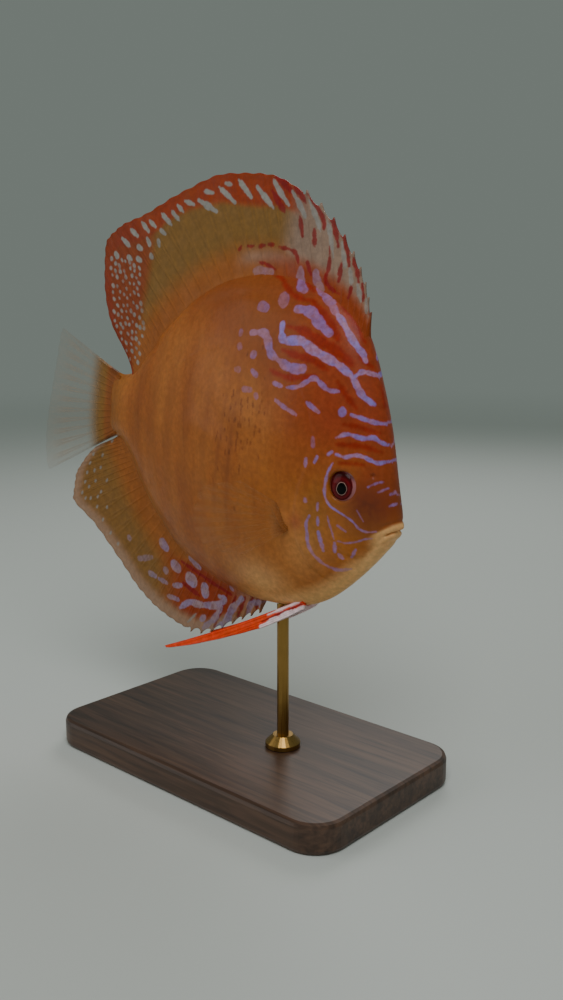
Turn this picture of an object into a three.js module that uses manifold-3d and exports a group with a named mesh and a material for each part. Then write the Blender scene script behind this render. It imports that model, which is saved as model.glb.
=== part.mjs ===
// A life-size discus (Symphysodon) as a still museum model on a plain display stand, in millimetres.
// The fish has its own frame: x runs forward to the snout, y to its left, z up to the dorsal fin, and its
// origin is half way between the snout and the root of the tail fin, at the height of the tail root.
// The part's frame has its origin under the middle of the stand's base, with the fish heading along +X.
import * as THREE from "three";
import { mergeVertices } from "three/addons/utils/BufferGeometryUtils.js";
import Module from "manifold-3d";

const wasm = await Module();
wasm.setup();

// Driving dimensions
const GAP = 0.3; // air between two nodes that touch
const SNOUT_X = 65.6; // tip of the closed mouth
const TAIL_X = -70; // flat end of the tail root, where the tail fin starts
const NOSE_DOWN = THREE.MathUtils.degToRad(9.9); // the fish's pitch
const FISH_HEIGHT = 110; // the fish's origin above the floor
const BODY_STATIONS = 32;
const BODY_RING = 32;

const EYE_RADIUS = 5.7;
const EYE_BULGE = 3.4; // half the eye's depth, as its front is flatter than a ball
const EYE_CENTRE = new THREE.Vector3(48.7, 7.7, 3.6);
const NOSTRIL = new THREE.Vector3(56.9, 6.3, 8.6);
const NOSTRIL_RADIUS = 0.9;
const MOUTH_CORNER_X = 61;
const COVER_PROUD = 0.6; // how far a gill cover stands out of the flank
const COVER_DEPTH = 0.9; // how far it reaches in

const ROOT_SUNK = 3.5; // how far a fin's root starts inside the body
const SPINE_GAP = 1.35; // each gap between spines, as a share of one between soft rays

const BASE_SIZE = new THREE.Vector3(128, 74, 10);
const BASE_CORNER = 10;
const BASE_BEVEL = 1.5;
const ROD_RADIUS = 2;
const ROD_FISH_X = 25; // where the rod meets the belly, between the pelvic fins and the anal fin
const COLLAR_RADIUS = 6;
const COLLAR_HEIGHT = 4;
const COLLAR_RIM = 1.4; // height of the collar's upright edge
const COLLAR_NECK = 3.4; // radius at its top
const ROD_TRIM = 6; // spare length of the rod before the belly's shape is cut from its top

const WIDE = 40; // cutting prisms reach this far to each side of the fish

// A smooth function through knots [x, value], with no overshoot between them.
function through(knots) {
  const k = [...knots].sort((a, b) => a[0] - b[0]);
  const step = k.slice(1).map((p, i) => (p[1] - k[i][1]) / (p[0] - k[i][0]));
  const slope = k.map((p, i) => {
    if (i === 0) return step[0];
    if (i === k.length - 1) return step[i - 1];
    return step[i - 1] * step[i] <= 0 ? 0 : (2 * step[i - 1] * step[i]) / (step[i - 1] + step[i]);
  });
  return (x) => {
    const at = THREE.MathUtils.clamp(x, k[0][0], k[k.length - 1][0]);
    let i = 0;
    while (i < k.length - 2 && at > k[i + 1][0]) i += 1;
    const width = k[i + 1][0] - k[i][0];
    const t = (at - k[i][0]) / width;
    return (
      k[i][1] * (1 + 2 * t) * (1 - t) ** 2 +
      slope[i] * width * t * (1 - t) ** 2 +
      k[i + 1][1] * t * t * (3 - 2 * t) +
      slope[i + 1] * width * t * t * (t - 1)
    );
  };
}

// The body's outline and thickness without fins
const backLine = through([
  [65.6, -5], [64.3, -1.8], [60.5, 8.2], [58, 15.3], [55.4, 22.3], [52.5, 29.1], [49, 36.3], [45.4, 43.1],
  [41.8, 48.5], [35, 54], [25, 58.3], [13, 60.5], [0, 60], [-13, 56.5], [-27, 49], [-40, 38], [-50, 26],
  [-57, 17], [-62, 13], [-66, 12], [-70, 12],
]);
const bellyLine = through([
  [65.6, -7.2], [64.6, -10], [61.4, -15.4], [57.7, -21], [54, -26], [49.1, -31.9], [43.9, -37],
  [38.3, -40.9], [32, -43.8], [24, -46.2], [12, -48.4], [0, -49], [-13, -47.4], [-27, -43], [-40, -34.5], [-50, -25],
  [-57, -17], [-62, -13], [-66, -12], [-70, -12],
]);
const halfWidth = through([
  [65.6, 1.6], [64.5, 3.1], [61.5, 4.9], [57.6, 6.6], [54, 8.1], [50, 9.3], [45, 10.8], [38, 12.8],
  [30, 14.3], [20, 15.3], [10, 15.5], [0, 14.9], [-15, 13.1], [-30, 10.6], [-45, 7.7], [-55, 5.6], [-62, 4.4],
  [-66, 3.2], [-70, 1.6],
]);
const backRound = through([[65.6, 0.5], [50, 0.52], [35, 0.6], [0, 0.72], [-70, 0.7]]); // 0.5 is an ellipse
const bellyRound = through([[65.6, 0.5], [45, 0.52], [20, 0.56], [-10, 0.7], [-70, 0.7]]);

function bodyPoint(x, angle, grow) {
  const top = backLine(x) + grow;
  const bottom = bellyLine(x) - grow;
  const sin = Math.sin(angle);
  const cos = Math.cos(angle);
  const round = sin > 0 ? backRound(x) : bellyRound(x);
  const y = Math.sign(cos) * (halfWidth(x) + grow) * Math.abs(cos) ** (2 * round);
  return [y, (top + bottom) / 2 + ((top - bottom) / 2) * sin];
}

// The whole trunk from snout to tail root as one closed mesh, its surface moved out by grow.
function bodyGeometry(grow) {
  const points = [];
  const triangles = [];
  for (let i = 0; i <= BODY_STATIONS; i += 1) {
    const share = (i / BODY_STATIONS) ** 1.6;
    const x = SNOUT_X - (SNOUT_X - TAIL_X) * share;
    const placed = x + grow * (1 - 2 * share);
    for (let j = 0; j < BODY_RING; j += 1) {
      const [y, z] = bodyPoint(x, (2 * Math.PI * j) / BODY_RING, grow);
      points.push(placed, y, z);
    }
  }
  const at = (i, j) => i * BODY_RING + (j % BODY_RING);
  for (let i = 0; i < BODY_STATIONS; i += 1)
    for (let j = 0; j < BODY_RING; j += 1) {
      triangles.push(at(i, j), at(i + 1, j), at(i, j + 1));
      triangles.push(at(i, j + 1), at(i + 1, j), at(i + 1, j + 1));
    }
  for (const [i, turned] of [[0, false], [BODY_STATIONS, true]]) {
    const x = points[at(i, 0) * 3];
    const z = (points[at(i, BODY_RING / 4) * 3 + 2] + points[at(i, (BODY_RING * 3) / 4) * 3 + 2]) / 2;
    points.push(x, 0, z);
    const middle = points.length / 3 - 1;
    for (let j = 0; j < BODY_RING; j += 1)
      triangles.push(middle, ...(turned ? [at(i, j + 1), at(i, j)] : [at(i, j), at(i, j + 1)]));
  }
  return geometryOf(points, triangles);
}

function geometryOf(points, triangles) {
  const geometry = new THREE.BufferGeometry();
  geometry.setAttribute("position", new THREE.Float32BufferAttribute(points, 3));
  geometry.setIndex(triangles);
  return geometry;
}

// Solids and geometries
function solidOf(geometry) {
  const bare = geometry.clone();
  for (const name of Object.keys(bare.attributes)) if (name !== "position") bare.deleteAttribute(name);
  const merged = mergeVertices(bare, 1e-4);
  const corners = Uint32Array.from(merged.index.array);
  const mesh = { numProp: 3, vertProperties: merged.attributes.position.array, triVerts: corners };
  const made = new wasm.Manifold(new wasm.Mesh(mesh));
  if (made.volume() > 0) return made;
  for (let i = 0; i < corners.length; i += 3) corners.subarray(i, i + 3).reverse();
  return new wasm.Manifold(new wasm.Mesh(mesh));
}

// A node keeps only its largest closed surface.
function largest(solid) {
  return solid.decompose().reduce((a, b) => (b.volume() > a.volume() ? b : a));
}

function meshOf(name, solid, finish) {
  const { vertProperties, triVerts } = largest(solid).getMesh();
  const mesh = new THREE.Mesh(geometryOf(Array.from(vertProperties), Array.from(triVerts)), finish);
  mesh.geometry.computeVertexNormals();
  mesh.name = name;
  return mesh;
}

// A prism over a closed loop of [x, z] points, from y low to y high.
function prism(loop, low, high) {
  const shape = new THREE.Shape(loop.map(([x, z]) => new THREE.Vector2(x, z)));
  const geometry = new THREE.ExtrudeGeometry(shape, { depth: high - low, bevelEnabled: false });
  geometry.applyMatrix4(new THREE.Matrix4().makeBasis(
    new THREE.Vector3(1, 0, 0),
    new THREE.Vector3(0, 0, 1),
    new THREE.Vector3(0, -1, 0),
  ));
  geometry.translate(0, high, 0);
  return solidOf(geometry);
}

function smoothLoop(points, count, closed = true) {
  const corners = points.map(([x, z]) => new THREE.Vector3(x, z, 0));
  const curve = new THREE.CatmullRomCurve3(corners, closed, "centripetal");
  const found = curve.getSpacedPoints(count).map((p) => [p.x, p.y]);
  return closed ? found.slice(0, -1) : found;
}

// The loop moved outwards by distance, for a loop given anticlockwise in x and z.
function grownLoop(loop, distance) {
  return loop.map((p, i) => {
    const before = loop[(i + loop.length - 1) % loop.length];
    const after = loop[(i + 1) % loop.length];
    const along = new THREE.Vector2(after[0] - before[0], after[1] - before[1]).normalize();
    return [p[0] + along.y * distance, p[1] - along.x * distance];
  });
}

const body = solidOf(bodyGeometry(0));
const bodyClear = solidOf(bodyGeometry(GAP));
const coverOuter = solidOf(bodyGeometry(COVER_PROUD));
const coverInner = solidOf(bodyGeometry(-COVER_DEPTH));
const pocketFloor = solidOf(bodyGeometry(-COVER_DEPTH - GAP));

// The gill opening's line from nape to throat parts the head from the trunk
const gillLine = smoothLoop(
  [
    [53, 60], [47.5, 46], [43, 32], [38.2, 16], [34.6, 4],
    [33.3, -9], [35, -20], [40.5, -30], [47, -37], [54, -52],
  ],
  18,
  false,
);
const headLoop = [...gillLine, [90, -52], [90, 60]];
const trunkLoop = [...gillLine.map(([x, z]) => [x - GAP, z]), [54, -70], [-57, -70], [-57, 80], [53, 80]];
const tailRootLoop = [[-57 - GAP, -40], [-57 - GAP, 40], [-90, 40], [-90, -40]];
const coverLoop = smoothLoop(
  [
    [40.2, 13.5], [36.8, 8], [34.4, 0], [33.8, -9], [35.4, -18],
    [40, -25.5], [45.8, -27.5], [47, -21], [44.4, -12], [41.4, 2],
  ],
  22,
);
const jawLoop = [[75, -7.1], [61.5, -9], [57.5, -13], [53.5, -22.5], [49, -30], [46, -42], [75, -42]];
const jawGapLoop = grownLoop(jawLoop.slice().reverse(), -GAP);

const finishes = {
  skin: new THREE.MeshStandardMaterial({ color: 0xc46a1c, roughness: 0.38, metalness: 0 }),
  face: new THREE.MeshStandardMaterial({ color: 0xb5501c, roughness: 0.38, metalness: 0 }),
  lip: new THREE.MeshStandardMaterial({ color: 0xd08a44, roughness: 0.42, metalness: 0 }),
  redFin: new THREE.MeshStandardMaterial({ color: 0xc03a14, roughness: 0.4, metalness: 0 }),
  clearFin: new THREE.MeshStandardMaterial({ color: 0xb7a878, roughness: 0.35, metalness: 0 }),
  eye: new THREE.MeshStandardMaterial({ color: 0x8c1f18, roughness: 0.08, metalness: 0 }),
  wood: new THREE.MeshStandardMaterial({ color: 0x2b211b, roughness: 0.45, metalness: 0 }),
  brass: new THREE.MeshStandardMaterial({ color: 0xb08d4a, roughness: 0.3, metalness: 1 }),
};

// Head
function eyeBall(side, grow) {
  const ball = new THREE.SphereGeometry(1, 18, 10);
  ball.rotateX(Math.PI / 2);
  ball.scale(EYE_RADIUS + grow, EYE_BULGE + grow, EYE_RADIUS + grow);
  ball.translate(EYE_CENTRE.x, side * EYE_CENTRE.y, EYE_CENTRE.z);
  return solidOf(ball);
}

// The low ring of skin round the eye, lying in the slope of the cheek
function eyeRim(side) {
  const rim = new THREE.TorusGeometry(EYE_RADIUS * 0.95, 0.95, 6, 18);
  rim.rotateX(Math.PI / 2);
  rim.rotateZ(side * -0.3);
  rim.translate(EYE_CENTRE.x + 0.6, side * (EYE_CENTRE.y + 1.1), EYE_CENTRE.z);
  return solidOf(rim);
}

// A lip is a tube round the front of the mouth, thick in the middle and thin at the corners.
function lip(height, thickness, spread, reach) {
  const curve = new THREE.QuadraticBezierCurve3(
    new THREE.Vector3(MOUTH_CORNER_X, -spread, height - 1),
    new THREE.Vector3(reach, 0, height + 0.6),
    new THREE.Vector3(MOUTH_CORNER_X, spread, height - 1),
  );
  const sides = 8;
  const steps = 10;
  const points = [];
  const triangles = [];
  for (let i = 0; i <= steps; i += 1) {
    const at = curve.getPoint(i / steps);
    const along = curve.getTangent(i / steps);
    const out = new THREE.Vector3(along.y, -along.x, 0).normalize();
    const radius = thickness * (0.35 + 0.65 * Math.sin((Math.PI * i) / steps));
    for (let j = 0; j < sides; j += 1) {
      const a = (2 * Math.PI * j) / sides;
      const p = at.clone().addScaledVector(out, Math.cos(a) * radius);
      points.push(p.x, p.y, p.z + Math.sin(a) * radius);
    }
  }
  const ring = (i, j) => i * sides + (j % sides);
  for (let i = 0; i < steps; i += 1)
    for (let j = 0; j < sides; j += 1) {
      triangles.push(ring(i, j), ring(i, j + 1), ring(i + 1, j));
      triangles.push(ring(i, j + 1), ring(i + 1, j + 1), ring(i + 1, j));
    }
  for (let j = 1; j < sides - 1; j += 1) {
    triangles.push(ring(0, 0), ring(0, j + 1), ring(0, j));
    triangles.push(ring(steps, 0), ring(steps, j), ring(steps, j + 1));
  }
  return solidOf(geometryOf(points, triangles));
}

function nostril(side) {
  const pit = new THREE.SphereGeometry(NOSTRIL_RADIUS, 10, 8);
  pit.translate(NOSTRIL.x, side * NOSTRIL.y, NOSTRIL.z);
  return solidOf(pit);
}

function coverPrism(side, grow) {
  const loop = grownLoop(coverLoop, grow);
  return side > 0 ? prism(loop, 4, WIDE) : prism(loop, -WIDE, -4);
}

function buildHead() {
  let head = body.intersect(prism(headLoop, -WIDE, WIDE));
  head = head.add(lip(-5.2, 1.6, 3.4, 68));
  for (const side of [1, -1]) {
    head = head.add(eyeRim(side)).subtract(eyeBall(side, GAP)).subtract(nostril(side));
    head = head.subtract(coverPrism(side, GAP).subtract(pocketFloor));
  }
  return head.subtract(prism(jawGapLoop, -WIDE, WIDE));
}

function buildJaw() {
  const jaw = body.add(lip(-8.9, 1.4, 3.2, 66.6));
  return jaw.intersect(prism(jawLoop, -WIDE, WIDE)).intersect(prism(headLoop, -WIDE, WIDE));
}

function buildCover(side) {
  return coverOuter.intersect(coverPrism(side, 0)).subtract(coverInner);
}

function buildTrunk() {
  let trunk = body.intersect(prism(trunkLoop, -WIDE, WIDE));
  for (const side of [1, -1]) trunk = trunk.subtract(coverPrism(side, GAP).subtract(pocketFloor));
  return trunk;
}

// Fins. A fin's guides are rays: [share along the fin, root x, root z, tip x, tip z].
function finSheet(fin) {
  const { guides, rays, spines = 1, rows, rootHalf, edgeHalf, ridge, lappet = 0, notch = 0.4, bow = 0 } = fin;
  const column = [1, 2, 3, 4].map((n) => through(guides.map((g) => [g[0], g[n]])));
  const spread = (k) => (k < spines - 1 ? k * SPINE_GAP : k + (spines - 1) * (SPINE_GAP - 1));
  const shareAt = (k) => spread(k) / spread(rays - 1);
  const places = [];
  for (let k = 0; k < rays; k += 1) {
    places.push({ u: shareAt(k), onRay: true, spiny: k < spines });
    if (k === rays - 1) break;
    for (const part of [0.3, 0.7]) places.push({ u: shareAt(k + part), onRay: false, spiny: k < spines - 1 });
  }
  const faces = [[], []];
  for (const { u, onRay, spiny } of places) {
    const root = new THREE.Vector2(column[0](u), column[1](u));
    const tip = new THREE.Vector2(column[2](u), column[3](u));
    const along = tip.clone().sub(root);
    const length = along.length();
    const reach = onRay ? (spiny ? lappet : notch) : spiny ? -0.5 * lappet : 0;
    const across = new THREE.Vector2(-along.y, along.x).normalize();
    for (let r = 0; r <= rows; r += 1) {
      const v = r / rows;
      const p = root.clone().addScaledVector(along, v * (1 + (v * reach) / length));
      p.addScaledVector(across, bow * length * v * (1 - v));
      const thick = THREE.MathUtils.lerp(rootHalf, edgeHalf, v ** 0.7) + (onRay ? ridge * (1 - 0.55 * v) : 0);
      faces[0].push(p.x, thick, p.y);
      faces[1].push(p.x, -thick, p.y);
    }
  }
  const columns = places.length;
  const half = columns * (rows + 1);
  const at = (c, r, back) => back * half + c * (rows + 1) + r;
  const triangles = [];
  for (let c = 0; c < columns - 1; c += 1)
    for (let r = 0; r < rows; r += 1) {
      const quad = [at(c, r, 0), at(c + 1, r, 0), at(c + 1, r + 1, 0), at(c, r + 1, 0)];
      const other = quad.map((i) => i + half);
      triangles.push(quad[0], quad[1], quad[2], quad[0], quad[2], quad[3]);
      triangles.push(other[0], other[2], other[1], other[0], other[3], other[2]);
    }
  const rim = [];
  for (let r = 0; r < rows; r += 1) rim.push([at(0, r, 0), at(0, r + 1, 0)]);
  for (let c = 0; c < columns - 1; c += 1) rim.push([at(c, rows, 0), at(c + 1, rows, 0)]);
  for (let r = rows; r > 0; r -= 1) rim.push([at(columns - 1, r, 0), at(columns - 1, r - 1, 0)]);
  for (let c = columns - 1; c > 0; c -= 1) rim.push([at(c, 0, 0), at(c - 1, 0, 0)]);
  for (const [a, b] of rim) triangles.push(a, b, b + half, a, b + half, a + half);
  return geometryOf([...faces[0], ...faces[1]], triangles);
}

function rootedGuides(rows, line, sink) {
  return rows.map(([rootX, tipX, tipZ], i) => [i / (rows.length - 1), rootX, line(rootX) - sink, tipX, tipZ]);
}

const dorsalGuides = rootedGuides(
  [
    [43.2, 42.8, 52.5], [40, 38.6, 61], [35.5, 32.5, 69.5], [29, 23, 78.5], [20, 10, 85], [9, -5, 88.4],
    [-4, -23, 87], [-17, -42, 79.5], [-29, -60, 70.2], [-39, -75, 63.8], [-46, -82, 56.5], [-50.5, -80.2, 44],
    [-54, -75, 30.5], [-57, -67, 21.5], [-59, -61, 15.5],
  ],
  backLine,
  ROOT_SUNK,
);
const analGuides = rootedGuides(
  [
    [18, 16, -51.5], [13, 8, -57.5], [6, -1, -64.5], [-2, -10.5, -70.2], [-10, -21, -72], [-19, -34, -71],
    [-28, -46, -67.5], [-37, -59, -59.5], [-45, -75, -50], [-51, -90, -43.5], [-54.5, -90, -35],
    [-57.5, -86, -27.8], [-60, -77.5, -20], [-62, -68.5, -15.8],
  ],
  bellyLine,
  -ROOT_SUNK,
);
const tailGuides = [
  [0, -66, 11, -84, 15.5], [0.12, -66, 10, -105, 21.5], [0.3, -66, 6, -108, 9], [0.5, -66, 0, -109, -7],
  [0.7, -66, -6, -109.5, -23], [0.88, -66, -10, -107, -36.5], [1, -66, -11, -84, -21.5],
];

function place(geometry, origin, turns) {
  const matrix = new THREE.Matrix4().makeRotationFromEuler(new THREE.Euler(...turns, "ZYX"));
  matrix.setPosition(...origin);
  geometry.applyMatrix4(matrix);
  return geometry;
}

// A cupped fin: its sheet bends away from flat with the square of the distance from its root.
function cupped(geometry, amount) {
  const p = geometry.getAttribute("position");
  for (let i = 0; i < p.count; i += 1) p.setY(i, p.getY(i) + amount * p.getX(i) ** 2);
  return geometry;
}

const pelvicFan = {
  guides: [
    [0, 3, 0.6, -62, -0.4], [0.2, 3, -0.2, -61, -1.2], [0.4, 3, -1, -48, -2.8], [0.7, 2.4, -1.8, -31, -3.8],
    [1, 2, -2.6, -16, -4.2],
  ],
  rays: 6,
  rows: 7,
  rootHalf: 0.8,
  edgeHalf: 0.26,
  ridge: 0.35,
  bow: 0.04,
};
const pectoralFan = {
  guides: [
    [0, 1.2, 3.4, -14, 12], [0.2, 1.2, 2.2, -27, 10], [0.5, 1.2, 0, -32, -1], [0.8, 1.2, -2.2, -26, -10],
    [1, 1.2, -3.4, -14, -11.5],
  ],
  rays: 11,
  rows: 4,
  rootHalf: 0.6,
  edgeHalf: 0.26,
  ridge: 0.2,
};

// Where the left fin's root sits in the fish, how it is turned, and how its sheet is cupped
const pelvicRoot = { at: [33.5, 3, -41.8], roll: 0.35, pitch: -0.602, yaw: -0.1, cup: 0.0008 };
const pectoralRoot = { at: [31.3, 12.9, -12], roll: 0.12, pitch: -0.209, yaw: -0.42, cup: -0.003 };

function pairedFin(fan, { at: [x, y, z], roll, pitch, yaw, cup }, side) {
  const sheet = cupped(finSheet(fan), side * cup);
  return solidOf(place(sheet, [x, side * y, z], [side * roll, pitch, side * yaw]));
}

// Stand
const fishFrame = new THREE.Group();
fishFrame.rotation.y = NOSE_DOWN;
fishFrame.position.set(0, 0, FISH_HEIGHT);
fishFrame.updateMatrix();

function buildRod() {
  const foot = new THREE.Vector3(ROD_FISH_X, 0, bellyLine(ROD_FISH_X)).applyMatrix4(fishFrame.matrix);
  const low = BASE_SIZE.z + GAP;
  const high = foot.z + ROD_TRIM;
  const rod = new THREE.CylinderGeometry(ROD_RADIUS, ROD_RADIUS, high - low, 20);
  rod.rotateX(Math.PI / 2);
  rod.translate(foot.x, 0, (low + high) / 2);
  const collar = new THREE.LatheGeometry(
    [
      new THREE.Vector2(0, 0),
      new THREE.Vector2(COLLAR_RADIUS, 0),
      new THREE.Vector2(COLLAR_RADIUS, COLLAR_RIM),
      new THREE.Vector2(COLLAR_NECK, COLLAR_HEIGHT),
      new THREE.Vector2(0, COLLAR_HEIGHT),
    ],
    28,
  );
  collar.rotateX(Math.PI / 2);
  collar.translate(foot.x, 0, low);
  const belly = solidOf(bodyGeometry(GAP).applyMatrix4(fishFrame.matrix));
  return solidOf(rod).add(solidOf(collar)).subtract(belly);
}

function buildBase() {
  const w = BASE_SIZE.x / 2 - BASE_BEVEL;
  const d = BASE_SIZE.y / 2 - BASE_BEVEL;
  const shape = new THREE.Shape();
  const r = BASE_CORNER;
  shape.absarc(w - r, d - r, r, 0, Math.PI / 2);
  shape.absarc(-w + r, d - r, r, Math.PI / 2, Math.PI);
  shape.absarc(-w + r, -d + r, r, Math.PI, 1.5 * Math.PI);
  shape.absarc(w - r, -d + r, r, 1.5 * Math.PI, 2 * Math.PI);
  const depth = BASE_SIZE.z - 2 * BASE_BEVEL;
  const bevel = { bevelSize: BASE_BEVEL, bevelThickness: BASE_BEVEL, bevelSegments: 2 };
  const plate = new THREE.ExtrudeGeometry(shape, { depth, curveSegments: 6, ...bevel });
  plate.translate(0, 0, BASE_BEVEL);
  return solidOf(plate);
}

// Assembly
const discus = new THREE.Group();
discus.add(fishFrame);
const fish = (name, solid, finish) => fishFrame.add(meshOf(name, solid, finish));

fish("head", buildHead(), finishes.face);
fish("lower_jaw", buildJaw(), finishes.lip);
fish("torso", buildTrunk(), finishes.skin);
fish("tail_root", body.intersect(prism(tailRootLoop, -WIDE, WIDE)), finishes.skin);
for (const [name, side] of [["left", 1], ["right", -1]]) {
  fish("eye_" + name, eyeBall(side, 0), finishes.eye);
  fish("gill_cover_" + name, buildCover(side), finishes.face);
  const pelvic = pairedFin(pelvicFan, pelvicRoot, side);
  const pectoral = pairedFin(pectoralFan, pectoralRoot, side);
  fish("pelvic_fin_" + name, pelvic.subtract(bodyClear), finishes.redFin);
  fish("pectoral_fin_" + name, pectoral.subtract(bodyClear), finishes.clearFin);
}
const longFin = { rows: 4, rootHalf: 1.5, edgeHalf: 0.3, ridge: 0.3 };
const dorsal = finSheet({ ...longFin, guides: dorsalGuides, rays: 38, spines: 9, lappet: 1.6, bow: 0.03 });
const anal = finSheet({ ...longFin, guides: analGuides, rays: 34, spines: 8, lappet: 1.6, bow: -0.03 });
const tail = finSheet({ ...longFin, rootHalf: 1.4, guides: tailGuides, rays: 17, rows: 5 });
fish("dorsal_fin", solidOf(dorsal).subtract(bodyClear), finishes.redFin);
fish("anal_fin", solidOf(anal).subtract(bodyClear), finishes.redFin);
fish("tail_fin", solidOf(tail).subtract(bodyClear), finishes.clearFin);

discus.add(meshOf("stand_base", buildBase(), finishes.wood));
discus.add(meshOf("stand_rod", buildRod(), finishes.brass));

export default discus;
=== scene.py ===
import bpy
import math
import random
import numpy as np
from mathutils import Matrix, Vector


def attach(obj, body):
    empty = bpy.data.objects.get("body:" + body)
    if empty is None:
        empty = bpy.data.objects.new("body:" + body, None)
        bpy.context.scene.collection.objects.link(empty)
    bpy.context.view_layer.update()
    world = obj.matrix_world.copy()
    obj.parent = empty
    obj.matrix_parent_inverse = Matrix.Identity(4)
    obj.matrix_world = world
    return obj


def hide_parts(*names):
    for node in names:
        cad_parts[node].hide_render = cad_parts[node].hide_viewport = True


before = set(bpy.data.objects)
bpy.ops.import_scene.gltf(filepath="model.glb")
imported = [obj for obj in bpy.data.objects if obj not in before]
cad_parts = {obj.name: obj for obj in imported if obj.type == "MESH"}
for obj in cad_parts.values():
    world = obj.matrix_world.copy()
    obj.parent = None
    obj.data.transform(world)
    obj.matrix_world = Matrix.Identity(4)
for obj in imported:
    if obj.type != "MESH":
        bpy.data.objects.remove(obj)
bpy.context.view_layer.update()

# The fish's own frame is in millimetres: x to the snout, y to its left, z up, origin amidships.
pose = {
    "noseDown": math.radians(9.9),
    "fishHeight": 110.0,  # its origin above the floor
}


def toPart(points):  # fish millimetres to metres in the part's frame
    p = np.asarray(points, float)
    c, s = math.cos(pose["noseDown"]), math.sin(pose["noseDown"])
    x = p[..., 0] * c + p[..., 2] * s
    z = -p[..., 0] * s + p[..., 2] * c + pose["fishHeight"]
    return np.stack([x, p[..., 1], z], -1) / 1000


def linear(hexText):  # sRGB hex to the linear colour that nodes take
    values = [int(hexText[i : i + 2], 16) / 255 for i in (1, 3, 5)]
    return [v / 12.92 if v <= 0.04045 else ((v + 0.055) / 1.055) ** 2.4 for v in values] + [1.0]


def addNode(tree, kind, inputs=None, output=0, **settings):  # inputs: values, hex colours or other outputs
    made = tree.nodes.new("ShaderNode" + kind)
    for key, value in settings.items():
        setattr(made, key, value)
    for key, value in (inputs or {}).items():
        if isinstance(value, bpy.types.NodeSocket):
            tree.links.new(value, made.inputs[key])
        else:
            made.inputs[key].default_value = linear(value) if isinstance(value, str) else value
    return made.outputs[output] if len(made.outputs) else None


def newMaterial(name):
    made = bpy.data.materials.new(name)
    made.use_nodes = True
    made.node_tree.nodes.clear()
    return made, made.node_tree


def smooth(value, low, high):
    t = np.clip((np.asarray(value, float) - low) / (high - low), 0, 1)
    return t * t * (3 - 2 * t)


def bell(value, width):
    return np.exp(-((np.asarray(value, float) / width) ** 2))


def blob(x, z, middleX, middleZ, across, up):  # a soft round patch, 1 in its middle
    return np.exp(-(((x - middleX) / across) ** 2) - ((z - middleZ) / up) ** 2)


def through(knots):  # a smooth function through knots, with no overshoot, as the solids use
    k = np.array(sorted(knots), float)
    xs, ys = k[:, 0], k[:, 1]
    step = np.diff(ys) / np.diff(xs)
    slope = np.zeros(len(xs))
    slope[0], slope[-1] = step[0], step[-1]
    a, b = step[:-1], step[1:]
    same = a * b > 0
    slope[1:-1] = np.where(same, 2 * a * b / np.where(same, a + b, 1), 0)

    def value(x):
        x = np.clip(np.asarray(x, float), xs[0], xs[-1])
        i = np.clip(np.searchsorted(xs, x, side="right") - 1, 0, len(xs) - 2)
        w = xs[i + 1] - xs[i]
        t = (x - xs[i]) / w
        low = ys[i] * (1 + 2 * t) * (1 - t) ** 2 + slope[i] * w * t * (1 - t) ** 2
        return low + ys[i + 1] * t * t * (3 - 2 * t) + slope[i + 1] * w * t * t * (t - 1)

    return value


def meshPiece(name, points, faces, attributes, material, nodes):  # points in fish millimetres
    mesh = bpy.data.meshes.new(name)
    mesh.vertices.add(len(points))
    mesh.vertices.foreach_set("co", np.asarray(toPart(points), np.float32).ravel())
    loops = np.concatenate([np.asarray(f, np.int32).ravel() for f in faces])
    sizes = np.concatenate([np.full(len(f), f.shape[1], np.int32) for f in faces])
    mesh.loops.add(len(loops))
    mesh.loops.foreach_set("vertex_index", loops)
    mesh.polygons.add(len(sizes))
    mesh.polygons.foreach_set("loop_start", np.concatenate([[0], np.cumsum(sizes)[:-1]]).astype(np.int32))
    mesh.update(calc_edges=True)
    mesh.validate()
    for key, values in attributes.items():
        layer = mesh.attributes.new(key, "FLOAT", "POINT")
        layer.data.foreach_set("value", np.broadcast_to(values, len(points)).astype(np.float32))
    mesh.polygons.foreach_set("use_smooth", np.ones(len(mesh.polygons), bool))
    mesh.materials.append(material)
    piece = bpy.data.objects.new(name, mesh)
    bpy.context.scene.collection.objects.link(piece)
    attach(piece, "root")
    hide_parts(*nodes)


def closedGrid(rowCount, count):  # the faces of a grid whose rows close on themselves
    row = np.arange(rowCount - 1)[:, None] * count
    here = np.arange(count)[None, :]
    after = (here + 1) % count
    return np.stack([row + here, row + count + here, row + count + after, row + after], -1).reshape(-1, 4)


def fan(first, count, middle):  # triangles from a row of the grid to one point
    here = np.arange(count)
    return np.stack([first + here, first + (here + 1) % count, np.full(count, middle)], -1)


# Marks are smooth lines: half width in millimetres, strength, then x, z, x, z and so on. paint gives each
# point its distance from the nearest mark's edge, negative inside it, and that mark's strength.
unpainted = 2.5  # millimetres from every mark


def paint(points, segments):
    distance = np.full(len(points), unpainted)
    strength = np.ones(len(points))
    order = np.argsort(points[:, 0])
    sortedX = points[order, 0]
    for a, b, radius, power in segments:
        pad = radius + unpainted
        low, high = np.minimum(a, b) - pad, np.maximum(a, b) + pad
        near = order[np.searchsorted(sortedX, low[0]) : np.searchsorted(sortedX, high[0])]
        p = points[near]
        near = near[(p[:, 1] > low[1]) & (p[:, 1] < high[1]) & (p[:, 2] > low[2]) & (p[:, 2] < high[2])]
        if not len(near):
            continue
        p = points[near]
        along = b - a
        t = np.clip((p - a) @ along / max(along @ along, 1e-9), 0, 1)
        d = np.linalg.norm(p - a - t[:, None] * along, axis=1) - radius
        closer = d < distance[near]
        distance[near[closer]] = d[closer]
        strength[near[closer]] = power
    return distance, strength


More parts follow.
